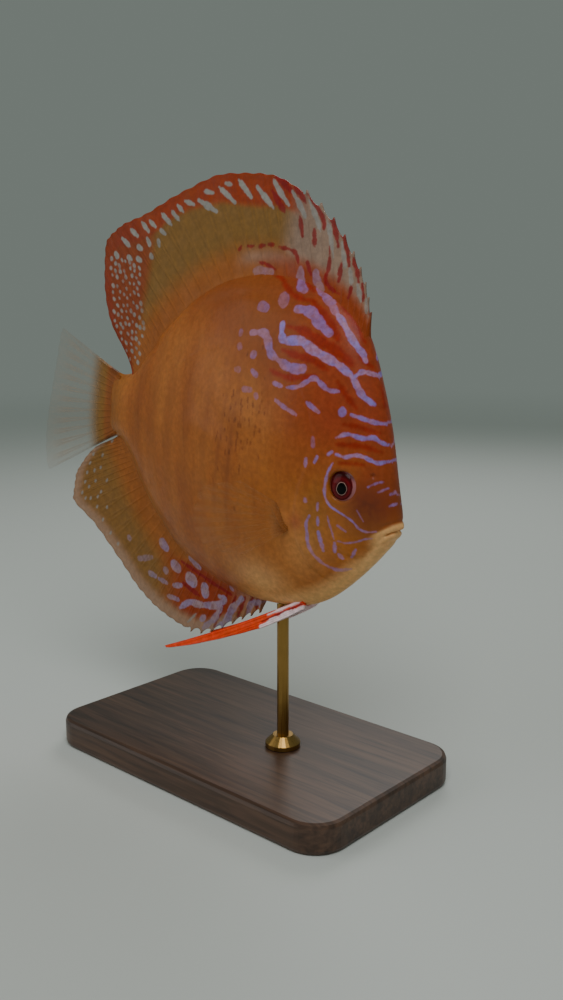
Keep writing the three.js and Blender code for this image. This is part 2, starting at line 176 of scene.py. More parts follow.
def rounded(points, steps=5):  # a smooth curve through the points of a mark
    p = np.array(points, float)
    p = np.concatenate([[2 * p[0] - p[1]], p, [2 * p[-1] - p[-2]]])
    found = []
    for a, b, c, d in zip(p, p[1:], p[2:], p[3:]):
        for t in np.arange(steps) / steps:
            square, cube = (2 * a - 5 * b + 4 * c - d) * t**2, (3 * b - a - 3 * c + d) * t**3
            found.append(0.5 * (2 * b + (c - a) * t + square + cube))
    return np.array(found + [p[-2]])


def segmentsOf(marks, side=0, jitter=0.0, seed=1, taper=0.45):  # side puts them on the left or right flank
    dice = random.Random(seed)
    found = []
    for radius, power, *path in marks:
        moved = [
            (x + dice.uniform(-jitter, jitter), z + dice.uniform(-jitter, jitter))
            for x, z in zip(path[::2], path[1::2])
        ]
        line = rounded(moved)
        phase = dice.uniform(0, 6)
        placed = [np.array([x, side * float(flankAt(x, z)) if side else 0.0, z]) for x, z in line]
        for i, (a, b) in enumerate(zip(placed, placed[1:])):
            t = (i + 0.5) / (len(placed) - 1)
            swell = 0.2 * math.sin(phase + 9.0 * t + 0.7 * len(placed) * t)  # no stripe is quite even
            found.append((a, b, radius * (1 - taper * abs(2 * t - 1) ** 2.5 + swell), power))
    return found


def marksOn(points, **marks):  # each kind's rows and taper; gives its distance and strength
    found = {}
    for key, (rows, taper) in marks.items():
        found[key], found[key + "Power"] = paint(points, segmentsOf(rows, taper=taper))
    return found


# Body outline, as in the solids
body = {
    "snoutX": 65.6,
    "tailX": -70.0,
    "stations": 350,
    "ring": 600,
    "scaleSize": 2.1,  # a discus's scales are small
    "scaleRelief": 0.055,
    "eye": (48.7, 3.6),
    "eyeOval": 0.9,  # its width as a share of its height
    "nostril": (56.9, 8.6),
    "mouth": (-6.9, 0.62),  # its height at the snout, and its fall for each millimetre back
}
backLine = through([
    (65.6, -5), (64.3, -1.8), (60.5, 8.2), (58, 15.3), (55.4, 22.3), (52.5, 29.1), (49, 36.3),
    (45.4, 43.1), (41.8, 48.5), (35, 54), (25, 58.3), (13, 60.5), (0, 60), (-13, 56.5), (-27, 49),
    (-40, 38), (-50, 26), (-57, 17), (-62, 13), (-66, 12), (-70, 12),
])
bellyLine = through([
    (65.6, -7.2), (64.6, -10), (61.4, -15.4), (57.7, -21), (54, -26), (49.1, -31.9), (43.9, -37),
    (38.3, -40.9), (32, -43.8), (24, -46.2), (12, -48.4), (0, -49), (-13, -47.4), (-27, -43),
    (-40, -34.5), (-50, -25), (-57, -17), (-62, -13), (-66, -12), (-70, -12),
])
halfWidth = through([
    (65.6, 1.6), (64.5, 3.1), (61.5, 4.9), (57.6, 6.6), (54, 8.1), (50, 9.3), (45, 10.8), (38, 12.8),
    (30, 14.3), (20, 15.3), (10, 15.5), (0, 14.9), (-15, 13.1), (-30, 10.6), (-45, 7.7), (-55, 5.6),
    (-62, 4.4), (-66, 3.2), (-70, 1.6),
])
backRound = through([(65.6, 0.5), (50, 0.52), (35, 0.6), (0, 0.72), (-70, 0.7)])
bellyRound = through([(65.6, 0.5), (45, 0.52), (20, 0.56), (-10, 0.7), (-70, 0.7)])


def flankAt(x, z):  # the body's half thickness at a point of its side view, 0 outside it
    top, bottom = backLine(x), bellyLine(x)
    t = (np.asarray(z, float) - (top + bottom) / 2) / ((top - bottom) / 2)
    power = np.where(t > 0, backRound(x), bellyRound(x))
    return halfWidth(x) * np.clip(1 - t * t, 0, 1) ** power


def away(x, z, line):  # distance in side view from a polyline, signed: positive to its right going along it
    best = np.full(np.shape(x), 1e3)
    side = np.ones(np.shape(x))
    share = np.zeros(np.shape(x))
    for i, ((ax, az), (bx, bz)) in enumerate(zip(line, line[1:])):
        dx, dz = bx - ax, bz - az
        t = np.clip(((x - ax) * dx + (z - az) * dz) / (dx * dx + dz * dz), 0, 1)
        d = np.hypot(x - ax - t * dx, z - az - t * dz)
        closer = d < best
        best = np.where(closer, d, best)
        side = np.where(closer, np.where((x - ax) * dz - (z - az) * dx > 0, 1.0, -1.0), side)
        share = np.where(closer, (i + t) / (len(line) - 1), share)
    return best, side, share


coverEdge = [
    (42, 15.5), (39.4, 12.5), (36.4, 7.5), (34.4, 0), (33.8, -9), (35.4, -18), (40, -25.5), (46, -29),
    (53, -30),
]
cheekEdge = [(44.2, -4.5), (44.9, -9), (47.2, -14), (50.5, -17.5), (55, -18.5), (59, -16)]
jawEdge = [(62.6, -9), (60.6, -11.6), (58.8, -14.4), (56.5, -18), (53.8, -22.5)]
sheathEdge = [(-62, 11), (-55, 18), (-44, 28), (-33.4, 37), (-22.2, 45), (-11, 50), (2, 53), (16, 53.5)]
keelEdge = [(-62, -11), (-54, -16.5), (-44, -26), (-32, -34.5), (-19, -40.3), (-4, -43), (12, -43)]
lateralLine = [
    (37, 17), (34, 24), (28, 30.5), (18, 35), (6, 36.5), (-6, 34.5), (-18, 30), (-28, 24), (-36, 17),
]


def hexScales(x, z, size):  # overlapping round scales in rows, highest at their free rear edge
    best = np.zeros(np.shape(x))
    rowHeight = size * 0.5
    row = np.floor(z / rowHeight)
    for dr in (-1, 0, 1, 2):
        r = row + dr
        shift = np.mod(r, 2) * size * 0.5
        for dc in (-1, 0, 1):
            cx = (np.floor((x - shift) / size) + dc) * size + shift
            cz = r * rowHeight
            d = np.hypot(x - cx - size * 0.3, (z - cz) * 1.15) / (size * 0.62)
            rise = np.clip((cx + size * 0.3 - x) / size + 0.55, 0, 1)
            best = np.maximum(best, np.where(d < 1, rise * np.clip((1 - d) * 5, 0, 1), 0))
    return best


def bodyRelief(x, z):  # how far the skin stands out from the plain body, in millimetres
    ex, ez = body["eye"]
    fromEye = np.hypot((x - ex) / body["eyeOval"], z - ez)
    rise = 0.3 * bell(fromEye - 5.6, 0.95) + 0.2 * bell(fromEye - 7.8, 1.6)
    rise -= 2.0 * smooth(-fromEye, -4.6, -3.7)
    nx, nz = body["nostril"]
    fromNostril = np.hypot(x - nx, z - nz)
    rise += 0.1 * bell(fromNostril - 1.0, 0.35) - 0.7 * bell(fromNostril, 0.5)
    # lips and the line of the mouth
    fromMouth = z - (body["mouth"][0] - body["mouth"][1] * (body["snoutX"] - x))
    lips = smooth(x, 61.4, 64.2)
    rise += lips * (0.32 * bell(fromMouth - 1.5, 1.2) + 0.34 * bell(fromMouth + 1.2, 0.9))
    rise -= 0.85 * smooth(x, 62.6, 63.6) * bell(fromMouth, 0.34)
    rise -= 0.2 * smooth(x, 61.0, 63.0) * (bell(fromMouth - 3.4, 0.6) + 0.7 * bell(fromMouth + 2.7, 0.55))
    rise -= 0.3 * smooth(x, 62.5, 64.5) * bell(z + 7, 5)
    # cheek, jaw and gill cover
    d, side, share = away(x, z, coverEdge)
    fade = smooth(share, 0.02, 0.5) * smooth(-share, -1.0, -0.75)
    plate = np.where(side < 0, smooth(d, 0, 1.6) * (1 - smooth(d, 2.0, 9)), 0)
    rise += fade * (0.24 * plate - 0.12 * bell(d, 0.9))
    d, side, share = away(x, z, cheekEdge)
    fade = smooth(share, 0, 0.12) * smooth(-share, -1, -0.85)
    rise += fade * (0.12 * np.where(side < 0, bell(d - 1.1, 1.2), 0) - 0.16 * bell(d, 0.8))
    d, _, share = away(x, z, jawEdge)
    rise -= 0.16 * smooth(-share, -1, -0.4) * bell(d, 0.7)
    rise += 0.55 * blob(x, z, 55.5, -7, 5.5, 5.5)  # a low swelling behind the mouth
    # the flank's edge, where the scaled sheaths of the long fins begin
    for line in (sheathEdge, keelEdge):
        d, _, share = away(x, z, line)
        rise -= 0.14 * bell(d, 1.8) * smooth(share, 0, 0.15) * smooth(-share, -1, -0.75)
    d, _, share = away(x, z, lateralLine)
    dots = 0.6 + 0.4 * np.cos(share * 2 * math.pi * 46)
    rise -= 0.11 * bell(d, 0.4) * dots * smooth(-share, -1, -0.85)
    rise += 0.4 * blob(x, z, 32.6, -12, 2.8, 3.5)  # the shoulder in front of the pectoral fin's root
    # muscle under the skin, very slight
    rise += 0.10 * np.sin(z * 0.42 + 1.3 * np.sin(x * 0.13)) * smooth(-x, -30, -5)
    scaled = smooth(-(x + 0.22 * z), -44, -34) * smooth(-np.abs(z), -58, -46)
    scaled = np.maximum(scaled, 0.5 * smooth(x, 20, 38) * smooth(-x, -44, -38) * smooth(z, -30, -20))
    rise += body["scaleRelief"] * scaled * (hexScales(x + 0.004 * z * z, z, body["scaleSize"]) - 0.5)
    return rise


# The lilac stripes and spots of the flank and face
bodyLilac = [
    (1.3, 1, 17, 46, 18.3, 42.6, 20.1, 41.6, 25.8, 42.5, 30.2, 40.9, 35.3, 39.5, 39.9, 38.1, 44.1, 35.9),
    (0.9, 1, 44.1, 35.9, 46.4, 33.1, 48.5, 30.7, 51.5, 28.7),
    (0.65, 1, 44.9, 35.5, 46.3, 37.3, 48.3, 36.9, 50, 36.3),
    (0.5, 0.75, 52.6, 31.3, 54.2, 28.1, 55.2, 25.8), (1.3, 0.55, 15.2, 60.5, 17.3, 57.5, 19.4, 56.6),
    (1.35, 0.6, 21, 60.6, 24.6, 57.5, 29.2, 55, 32.4, 52.4),
    (0.95, 0.95, 32.4, 52.4, 36.1, 49.9, 41.2, 45.3, 44.4, 42.4, 45.8, 40.4),
    (1.55, 0.66, 20.1, 51.1, 25, 51.1, 29.1, 48.7, 33.7, 46.3),
    (1.3, 0.66, 5.9, 41.3, 11, 42.1, 13.6, 40.1, 16.1, 36.9, 19.8, 35.6),
    (1.35, 0.7, 19.8, 35.6, 23.9, 34.4, 28.3, 34.5, 29.6, 35.2), (0.66, 0.65, 20.1, 28.7, 23.4, 28.4),
    (0.7, 0.75, 25.4, 28.4, 29, 29.4, 31.3, 31.1, 33.5, 33, 36, 32.1, 39, 30.6, 42.2, 30.8),
    (0.6, 0.7, 22.4, 23.9, 26, 22.6, 30.8, 21.3), (0.65, 0.7, 33.4, 25.6, 37.8, 23.7),
    (1.05, 0.8, 44.5, 25.8, 44.7, 24.6), (0.6, 0.9, 47.2, 24.9, 50.3, 24.4, 53.2, 23.8, 55.6, 23.4),
    (0.6, 0.95, 44.6, 17.5, 47.6, 19.2, 51.6, 18.8, 54.2, 19.5, 56, 18.3, 57.7, 17.4),
    (0.45, 0.95, 43.1, 11.9, 44.3, 13.2),
    (0.52, 1, 45.6, 12.7, 48.2, 12.4, 50.5, 13.5, 53, 13.7, 55, 13.1, 57, 12.5, 58.8, 13.1, 59.8, 12.9),
    (0.36, 1, 45.2, 10, 44.3, 7.4, 43.9, 4.6, 43.9, 1.4, 44.7, -1.4, 46.6, -3.4, 49.3, -4.4),
    (0.3, 0.8, 49.3, -4.4, 52.1, -5.3, 54.3, -6.4, 55.6, -7.7, 57.9, -8.3, 60.6, -7.6),
    (0.24, 0.75, 56.3, 5.2, 58.4, 6.9, 59.5, 7.3), (0.27, 0.7, 59.1, 4.2, 60.8, 5.6),
    (0.4, 0.65, 61.6, 3.8, 62.3, 5), (0.36, 0.65, 62.4, 0.6, 63.6, 1.4),
    (0.15, 0.5, 54.6, -2.3, 55.7, -3.8, 56.8, -5.2),
    (0.24, 0.55, 45.8, -6.7, 46.5, -9, 47.5, -11.2, 48.3, -13.5), (0.55, 0.8, 48.6, -14.7, 48.7, -17.6),
    (0.55, 0.75, 49.9, -18.2, 51.1, -19.2), (0.36, 0.45, 49.2, -8.8, 51.9, -9.9),
    (0.24, 0.6, 49.5, -13.8, 52.2, -13.7, 55.3, -12.3, 57.8, -10.7, 59.7, -10),
    (0.42, 0.6, 55.1, -15.1, 53.8, -18.1), (0.4, 0.7, 42.3, -3.6, 42.3, -5.8),
    (0.44, 0.75, 42.7, -7.9, 42.9, -10.3),
    (0.6, 0.85, 43.2, -12.6, 43.8, -14.5, 44.5, -16.5, 45.1, -18.3),
    (0.5, 0.75, 40.1, -8, 39.2, -10.7, 39.7, -14.1, 40.1, -17.2, 41.8, -20.3, 44.5, -22.4, 46.9, -23.4),
    (0.5, 0.55, 46.9, -23.4, 50, -23.7, 53.4, -22.3), (0.5, 0.8, 36.6, 9.1, 36.8, 6.8),
    (0.48, 0.9, 40.1, 10.6, 39.5, 8.7), (0.55, 0.35, 37.7, 15.9, 38.3, 13.1),
    (0.6, 0.6, 38.2, -3.2, 38.3, -3.9), (1.1, 0.5, 9.2, 35.5, 9.6, 34.8),
    (0.9, 0.3, 3.5, 29.3, 5.3, 29.5), (0.85, 0.45, 10.8, 30.4, 13.2, 29.3), (0.8, 0.3, 1, 41, 1.3, 39.8),
    (0.9, 0.28, 2.1, 36.6, 3.1, 35.9), (0.9, 0.3, 8.4, 24.2, 11.9, 24.6),
    (0.8, 0.3, 14.1, 23.8, 14.9, 23), (1.5, 0.42, 5.3, 49.7, 8.4, 49.2),
    (1.7, 0.4, 12.7, 53.9, 14.4, 51.7),
]
# Deep red lines between them
bodyRed = [
    (0.85, 0.9, 2, 59.7, 8.2, 58.6, 13.6, 55.9, 19.1, 54.2, 24, 54.1),
    (1.3, 0.9, 24, 54.1, 29.4, 51.1, 33.6, 48.4, 37.1, 45.1),
    (1, 0.9, 24.5, 60.5, 29.3, 57.6, 34.6, 53.7, 39.5, 49.4, 43.6, 45.4),
    (0.7, 0.8, 18.8, 58.6, 22.5, 56.9),
    (1.5, 0.75, 19.3, 45.8, 26.1, 45.3, 31, 43.9, 36.4, 42.4, 40.6, 40.6, 43.7, 38.6),
    (1.1, 0.7, 20.1, 38.8, 25.9, 38.2, 31.1, 38, 37, 36.2),
    (0.9, 0.6, 17.9, 32.1, 23.9, 31.4, 30.1, 32.3, 33.7, 33.9),
    (0.8, 0.5, 41.1, 33.4, 44.7, 29.8, 48, 27), (0.7, 0.7, 43.9, 41.7, 47.4, 38.9),
    (0.7, 0.5, 50.8, 33.5, 52.6, 31, 53, 28), (0.7, 0.4, 45, 15.6, 49, 16.2, 53, 16.6, 57, 15.6),
    (0.6, 0.4, 46, 21.8, 50, 21.9, 55, 20.9), (0.45, 0.5, 47, 10.4, 50, 11, 54, 11.4),
]


def outlineLoop():  # the body's grid of points before relief
    n, m = body["stations"], body["ring"]
    share = np.linspace(0, 1, n + 1) ** 1.42
    x = body["snoutX"] - (body["snoutX"] - body["tailX"]) * share
    angle = np.linspace(0, 2 * math.pi, m, endpoint=False)
    sine, cosine = np.sin(angle)[None, :], np.cos(angle)[None, :]
    top, bottom = backLine(x)[:, None], bellyLine(x)[:, None]
    power = np.where(sine > 0, backRound(x)[:, None], bellyRound(x)[:, None])
    y = np.sign(cosine) * halfWidth(x)[:, None] * np.abs(cosine) ** (2 * power)
    z = (top + bottom) / 2 + (top - bottom) / 2 * sine
    grid = np.stack([np.broadcast_to(x[:, None], y.shape), y, z], -1)
    capRings = 6  # shrinking rings close the snout
    caps = []
    first = grid[0]
    centre = first.mean(axis=0)
    for k in range(1, capRings + 1):
        q = k / capRings
        ring = centre + (first - centre) * (1 - q * 0.98)
        ring[:, 0] += 0.35 * math.sqrt(max(0.0, 1 - (1 - q) ** 2))
        caps.insert(0, ring)
    return np.concatenate([np.array(caps), grid], 0)


grid = outlineLoop()
n, m = grid.shape[0], grid.shape[1]
along = np.gradient(grid, axis=0)
around = np.roll(grid, -1, axis=1) - np.roll(grid, 1, axis=1)
normal = np.cross(along, around)
normal /= np.maximum(np.linalg.norm(normal, axis=2, keepdims=True), 1e-9)
skinPoints = (grid + normal * bodyRelief(grid[..., 0], grid[..., 2])[..., None]).reshape(-1, 3)
skinPoints = np.concatenate([skinPoints, [grid[-1].mean(axis=0)], [skinPoints[:m].mean(axis=0)]])
quads = np.roll(closedGrid(n, m), -1, axis=1)
tailFan, noseFan = fan((n - 1) * m, m, n * m), fan(0, m, n * m + 1)[:, ::-1]
bare = np.concatenate([grid.reshape(-1, 3), skinPoints[-2:]])  # where the points were before relief
print("skin grid", n, m)

# Soft patches of colour in side view: strength, x, z, and how far they reach along x and z
patches = {
    "red": [(0.9, 35.5, -11.5, 2.16, 2.7), (0.9, -4, -52, 12.8, 8)],
    "olive": [(0.35, 41.5, -8, 3.85, 12.1)],
    "pale": [(0.7, 22, -38, 12, 8), (0.22, 38, -20, 8, 12)],
}
facePatch = (57.5, -1.2, 8.8, 8.8)
darkBars = [  # upright bars: x, lean, width, height and strength
    (7, 0.02, 1.1, 24, 0.4), (1.5, -0.03, 1.0, 24, 0.32), (-6, 0.02, 1.6, 24, 0.28),
    (-17, 0.05, 3.2, 32, 0.26), (-27.5, 0.05, 3.4, 32, 0.3), (-38, 0.05, 3.6, 32, 0.32),
    (-48.5, 0.05, 3.4, 32, 0.3),
]


def zonesOf(x, z, depth):  # how red, olive, pale, dark and rusty the body is at a point of its side view
    bands = {
        "red": [
            smooth(x + 0.25 * z, 18, 50) * smooth(z, -4, 24),
            0.95 * smooth(z + 0.45 * x, 52, 68) * smooth(x, -4, 18),
            0.75 * smooth(x, 46, 56) * smooth(z, -8, 2),
        ],
        "olive": [
            0.35 * smooth(-x, 10, 40) * smooth(-depth, -9, -2) * (z < 0),
            0.3 * smooth(-x, 57, 67),
        ],
        "pale": [
            # The next two bands pale the chin, breast and belly near the lower outline: their own pale tan,
            # partly raised as painted light from the floor below them
            smooth(-depth, -6.6, -2.6) * smooth(-z, 8, 13) * smooth(x, 24, 40),
            0.9 * smooth(-depth, -10, -2.5) * smooth(x, 2, 26) * smooth(-z, 12, 22),
            0.9 * smooth(0.8 * (x - 61) - (z + 7.4), -0.3, 0.9) * smooth(x, 57.0, 61.6),  # the lips
        ],
        "dark": [0.3 * smooth(z + 0.4 * x, 24, 46) * smooth(-x, -34, -14)],
        "rustPart": [0.75 * smooth(z + 0.3 * x, 24, 42)],
    }
    for key, rows in patches.items():
        bands[key] += [share * blob(x, z, *where) for share, *where in rows]
    for middle, lean, wide, tall, deep in darkBars:
        bands["dark"].append(deep * bell(x - middle + lean * z, wide) * bell(z - 2, tall))
    zones = {key: np.max(rows, axis=0) for key, rows in bands.items()}
    zones["dark"] = np.maximum(zones["dark"], 0.95 * blob(x, z, *facePatch) * (1 - zones["pale"]))
    return zones


edgeDepth = np.minimum(backLine(bare[:, 0]) - bare[:, 2], bare[:, 2] - bellyLine(bare[:, 0]))
skinPaint = zonesOf(bare[:, 0], bare[:, 2], edgeDepth)
for key in ("lilac", "lilacPower", "redLine", "flecks"):
    skinPaint[key] = np.zeros(len(bare))
fleckMarks = [(0.28, 1, a, b, a + c, b - d) for a, b, c, d in (
    (9, 21, 0.1, 1.6), (11.5, 22, 0.2, 1.2), (14, 21.5, 0.1, 1.8), (17, 21, 0.2, 1), (8, 15, -0.2, 1.3),
    (10.5, 13.5, 0.2, 1), (13.5, 16, 0.3, 0.8), (9.5, 8, 0.1, 1.4), (12.5, 6.5, 0.3, 0.7),
    (7, 4, 0.2, 1.2), (15.5, 9, 0.1, 0.9), (5, 18, 0.1, 1.1), (3.5, 10, 0.2, 0.8), (18.5, 14, 0.1, 1),
    (11, -14, 0.2, 1.3),
)]
dice = random.Random(5)
for _ in range(60):  # fainter dashes in upright rows among them
    a = 2.4 * dice.randint(0, 8) + dice.uniform(-0.4, 0.4)
    b, c = dice.gauss(13, 9), dice.uniform(0.4, 1.4)
    fleckMarks.append((dice.uniform(0.1, 0.24), 1, a, b, a + 0.1, b - c))
for side, jitter, seed in ((-1, 0.0, 1), (1, 0.7, 7)):  # the left flank's marks wander from the right one's
    mine = bare[:, 1] * side >= 0
    stripes = paint(bare[mine], segmentsOf(bodyLilac, side, jitter, seed))
    skinPaint["lilac"][mine], skinPaint["lilacPower"][mine] = stripes
    skinPaint["redLine"][mine] = paint(bare[mine], segmentsOf(bodyRed, side, jitter, seed + 1, 0.7))[0]
    skinPaint["flecks"][mine] = paint(bare[mine], segmentsOf(fleckMarks, side, 2 * jitter, seed + 2))[0]

# Discus skin: live skin under a film of slime, so a satin surface with a thin wet coat over it
skinLook = {
    "amber": "#b0682a",  # flank
    "rust": "#974c18",  # upper back
    "streak": "#7d3f12",
    "fleck": "#6a3012",
    "red": "#9a4022",  # forehead and nape
    "olive": "#7d5f22",
    "pale": "#ecb577",  # chin and breast: their own pale tan, made brighter as painted light for the light the floor throws up on them
    "dark": "#622e1c",
    "lilac": "#8c76bc",
    "pink": "#aa7b9c",
    "deepRed": "#92240a",
    "softness": 0.7,
    "redShare": 0.9,
    "grey": "#8d8076",  # dull parts of a fin
    "roughness": 0.38,
    "coat": 0.12,
    "specular": 0.24,
    "flesh": 0.12,  # light that goes a little way in
    "bump": 0.00012,
}
noises = {  # size in millimetres, detail, roughness and stretch
    "broad": (14.0, 3.0, 0.5, (1.4, 1.0, 0.42)),
    "streak": (1.7, 3.0, 0.5, (1.0, 1.0, 0.09)),  # upright, along the scale rows
    "fine": (1.6, 4, 0.55, (1, 1, 1)),
    "edge": (1.3, 2, 0.55, (1, 1, 1)),
    "stripe": (6, 3, 0.55, (1, 1, 1)),
    "gloss": (5, 3, 0.55, (1, 1, 1)),
    "grit": (0.45, 2, 0.55, (1, 1, 1)),
    "lump": (2.2, 2, 0.55, (1, 1, 1)),
}


def skinMaterial(name, isFin=False, **changes):
    look = {**skinLook, **changes}
    material, tree = newMaterial(name)
    place = addNode(tree, "TexCoord", output="Object")
    noise = {}
    for key, (size, detail, rough, stretch) in noises.items():
        vector = addNode(tree, "Mapping", {"Vector": place, "Scale": stretch})
        inputs = {"Vector": vector, "Scale": 1000 / size, "Detail": detail, "Roughness": rough}
        noise[key] = addNode(tree, "TexNoise", inputs)
    ranges = {  # which noise, where it starts and ends, and what that gives
        "rust": ("broad", 0.3, 0.7, 0.0, 0.6),
        "streak": ("streak", 0.5, 0.78, 0.0, 0.24),
        "red": ("broad", 0.1, 0.6, 0.75, 1.0),
        "dark": ("fine", 0.3, 0.7, 0.6, 1.0),
        "stripe": ("fine", 0.25, 0.6, 0.72, 1.0),
        "pink": ("stripe", 0.4, 0.62, 0.0, 1.0),
        "mottle": ("fine", 0.3, 0.75, 0.86, 1.12),
        "gloss": ("gloss", 0.3, 0.7, look["roughness"] - 0.05, look["roughness"] + 0.08),
    }
    share = {}
    for key, (source, low, high, bottom, top) in ranges.items():
        inputs = {"Value": noise[source], "From Min": low, "From Max": high, "To Min": bottom, "To Max": top}
        share[key] = addNode(tree, "MapRange", inputs, interpolation_type="SMOOTHSTEP")
    names = ["olive", "red", "pale", "dark", "redLine", "lilac", "lilacPower"]
    names += ["grey", "spots", "spotsPower", "cover"] if isFin else ["rustPart", "flecks"]
    painted = {key: addNode(tree, "Attribute", output="Fac", attribute_name=key) for key in names}

    # broad zones of colour, each over the one before
    inputs = {"Factor": share["rust"], 6: look["amber"], 7: look["rust"]}
    colour = addNode(tree, "Mix", inputs, 2, data_type="RGBA")
    inputs = {"Factor": share["pink"], 6: look["lilac"], 7: look["pink"]}
    stripeColour = addNode(tree, "Mix", inputs, 2, data_type="RGBA")
    zones = [(painted["olive"], 0.9, "olive"), (painted["red"], share["red"], "red")]
    zones += [(painted["pale"], 0.95, "pale"), (painted["dark"], share["dark"], "dark")]
    if isFin:
        zones.insert(1, (painted["grey"], 1.0, "grey"))
    else:
        zones = [(painted["rustPart"], 1.0, "rust"), (share["streak"], 1.0, "streak")] + zones
    for amount, times, key in zones:
        factor = addNode(tree, "Math", {0: amount, 1: times}, operation="MULTIPLY")
        inputs = {"Factor": factor, 6: colour, 7: look[key]}
        colour = addNode(tree, "Mix", inputs, 2, data_type="RGBA")

    # marks: distance, how ragged, from and to where the edge fades in millimetres, share, factors, colour
    soft = look["softness"]
    lines = [
        ("redLine", 1.0, -soft, soft + 0.1, look["redShare"], [], look["deepRed"]),
        ("lilac", 0.6, -0.22, 0.3, 1.0, [painted["lilacPower"], share["stripe"]], stripeColour),
    ]
    if isFin:
        lines.append(("spots", 0.5, -0.25, 0.3, 1.0, [painted["spotsPower"]], look["cream"]))
    else:
        lines.insert(0, ("flecks", 1.0, -0.3, 0.5, 0.6, [], look["fleck"]))
    wobble = addNode(tree, "Math", {0: noise["edge"], 1: 0.5}, operation="SUBTRACT")
    wobble = addNode(tree, "Math", {0: wobble, 1: 0.9}, operation="MULTIPLY")  # in millimetres
    for key, ragged, low, high, most, factors, markColour in lines:
        inputs = {0: wobble, 1: ragged, 2: painted[key]}
        distance = addNode(tree, "Math", inputs, operation="MULTIPLY_ADD")
        inputs = {"Value": distance, "From Min": low, "From Max": high, "To Min": most, "To Max": 0.0}
        amount = addNode(tree, "MapRange", inputs, interpolation_type="SMOOTHSTEP")
        for factor in factors:
            amount = addNode(tree, "Math", {0: amount, 1: factor}, operation="MULTIPLY")
        inputs = {"Factor": amount, 6: colour, 7: markColour}
        colour = addNode(tree, "Mix", inputs, 2, data_type="RGBA")
    shaded = addNode(tree, "VectorMath", {0: colour, "Scale": share["mottle"]}, operation="SCALE")

    lumps = addNode(tree, "Math", {0: noise["lump"], 1: 0.65}, operation="MULTIPLY")
    height = addNode(tree, "Math", {0: noise["grit"], 1: 0.35, 2: lumps}, operation="MULTIPLY_ADD")
    bump = addNode(tree, "Bump", {"Strength": 0.22, "Distance": look["bump"], "Height": height})
    inputs = {
        "Base Color": shaded, "Roughness": share["gloss"], "Normal": bump, "IOR": 1.4,
        "Coat Weight": look["coat"], "Coat Roughness": 0.12, "Coat IOR": 1.34,
        "Specular IOR Level": look["specular"], "Subsurface Weight": 0.0 if isFin else look["flesh"],
        "Subsurface Scale": 0.002, "Subsurface Radius": (1.0, 0.35, 0.2),
    }
    if isFin:
        inputs["Alpha"] = painted["cover"]
    surface = addNode(tree, "BsdfPrincipled", inputs)
    addNode(tree, "OutputMaterial", {"Surface": surface})
    return material


slimySkin = skinMaterial("slimyFishSkin")
# Fin membrane: thin wet skin over bony rays, so it is duller than the flank and lets some light by
finLook = {
    "amber": "#a05d26", "rust": "#935018", "red": "#93320f", "deepRed": "#860f12", "olive": "#866229",
    "cream": "#938e88", "grey": "#957a68", "pale": "#b08c70", "lilac": "#93809f", "pink": "#a0858c",
    "coat": 0.04, "specular": 0.22, "roughness": 0.5, "softness": 0.25, "redShare": 0.85,
}
membrane = skinMaterial("wetFinMembrane", True, **finLook)
# The pelvic fins' long blades: thicker and opaque, so their red is the brightest
bladeLook = {
    "red": "#f0400a", "deepRed": "#8a0c14", "cream": "#ffe6ea", "lilac": "#e6c4dc",
    "coat": 0.08, "specular": 0.25, "roughness": 0.45, "softness": 0.25, "redShare": 0.85,
}
pelvicBlade = skinMaterial("wetPelvicBlade", True, **bladeLook)

meshPiece(
    "fish_skin", skinPoints, [quads, tailFan, noseFan], skinPaint, slimySkin,
    ["head", "lower_jaw", "torso", "tail_root", "gill_cover_left", "gill_cover_right"],
)
print("skin done")

# Fins: thin closed sheets with raised rays. Widths are shares of the gap from one ray to the next.
rayShape = {"spine": 0.10, "soft": 0.055, "firstFork": 0.13, "secondFork": 0.07, "point": 0.16, "thin": 0.85}


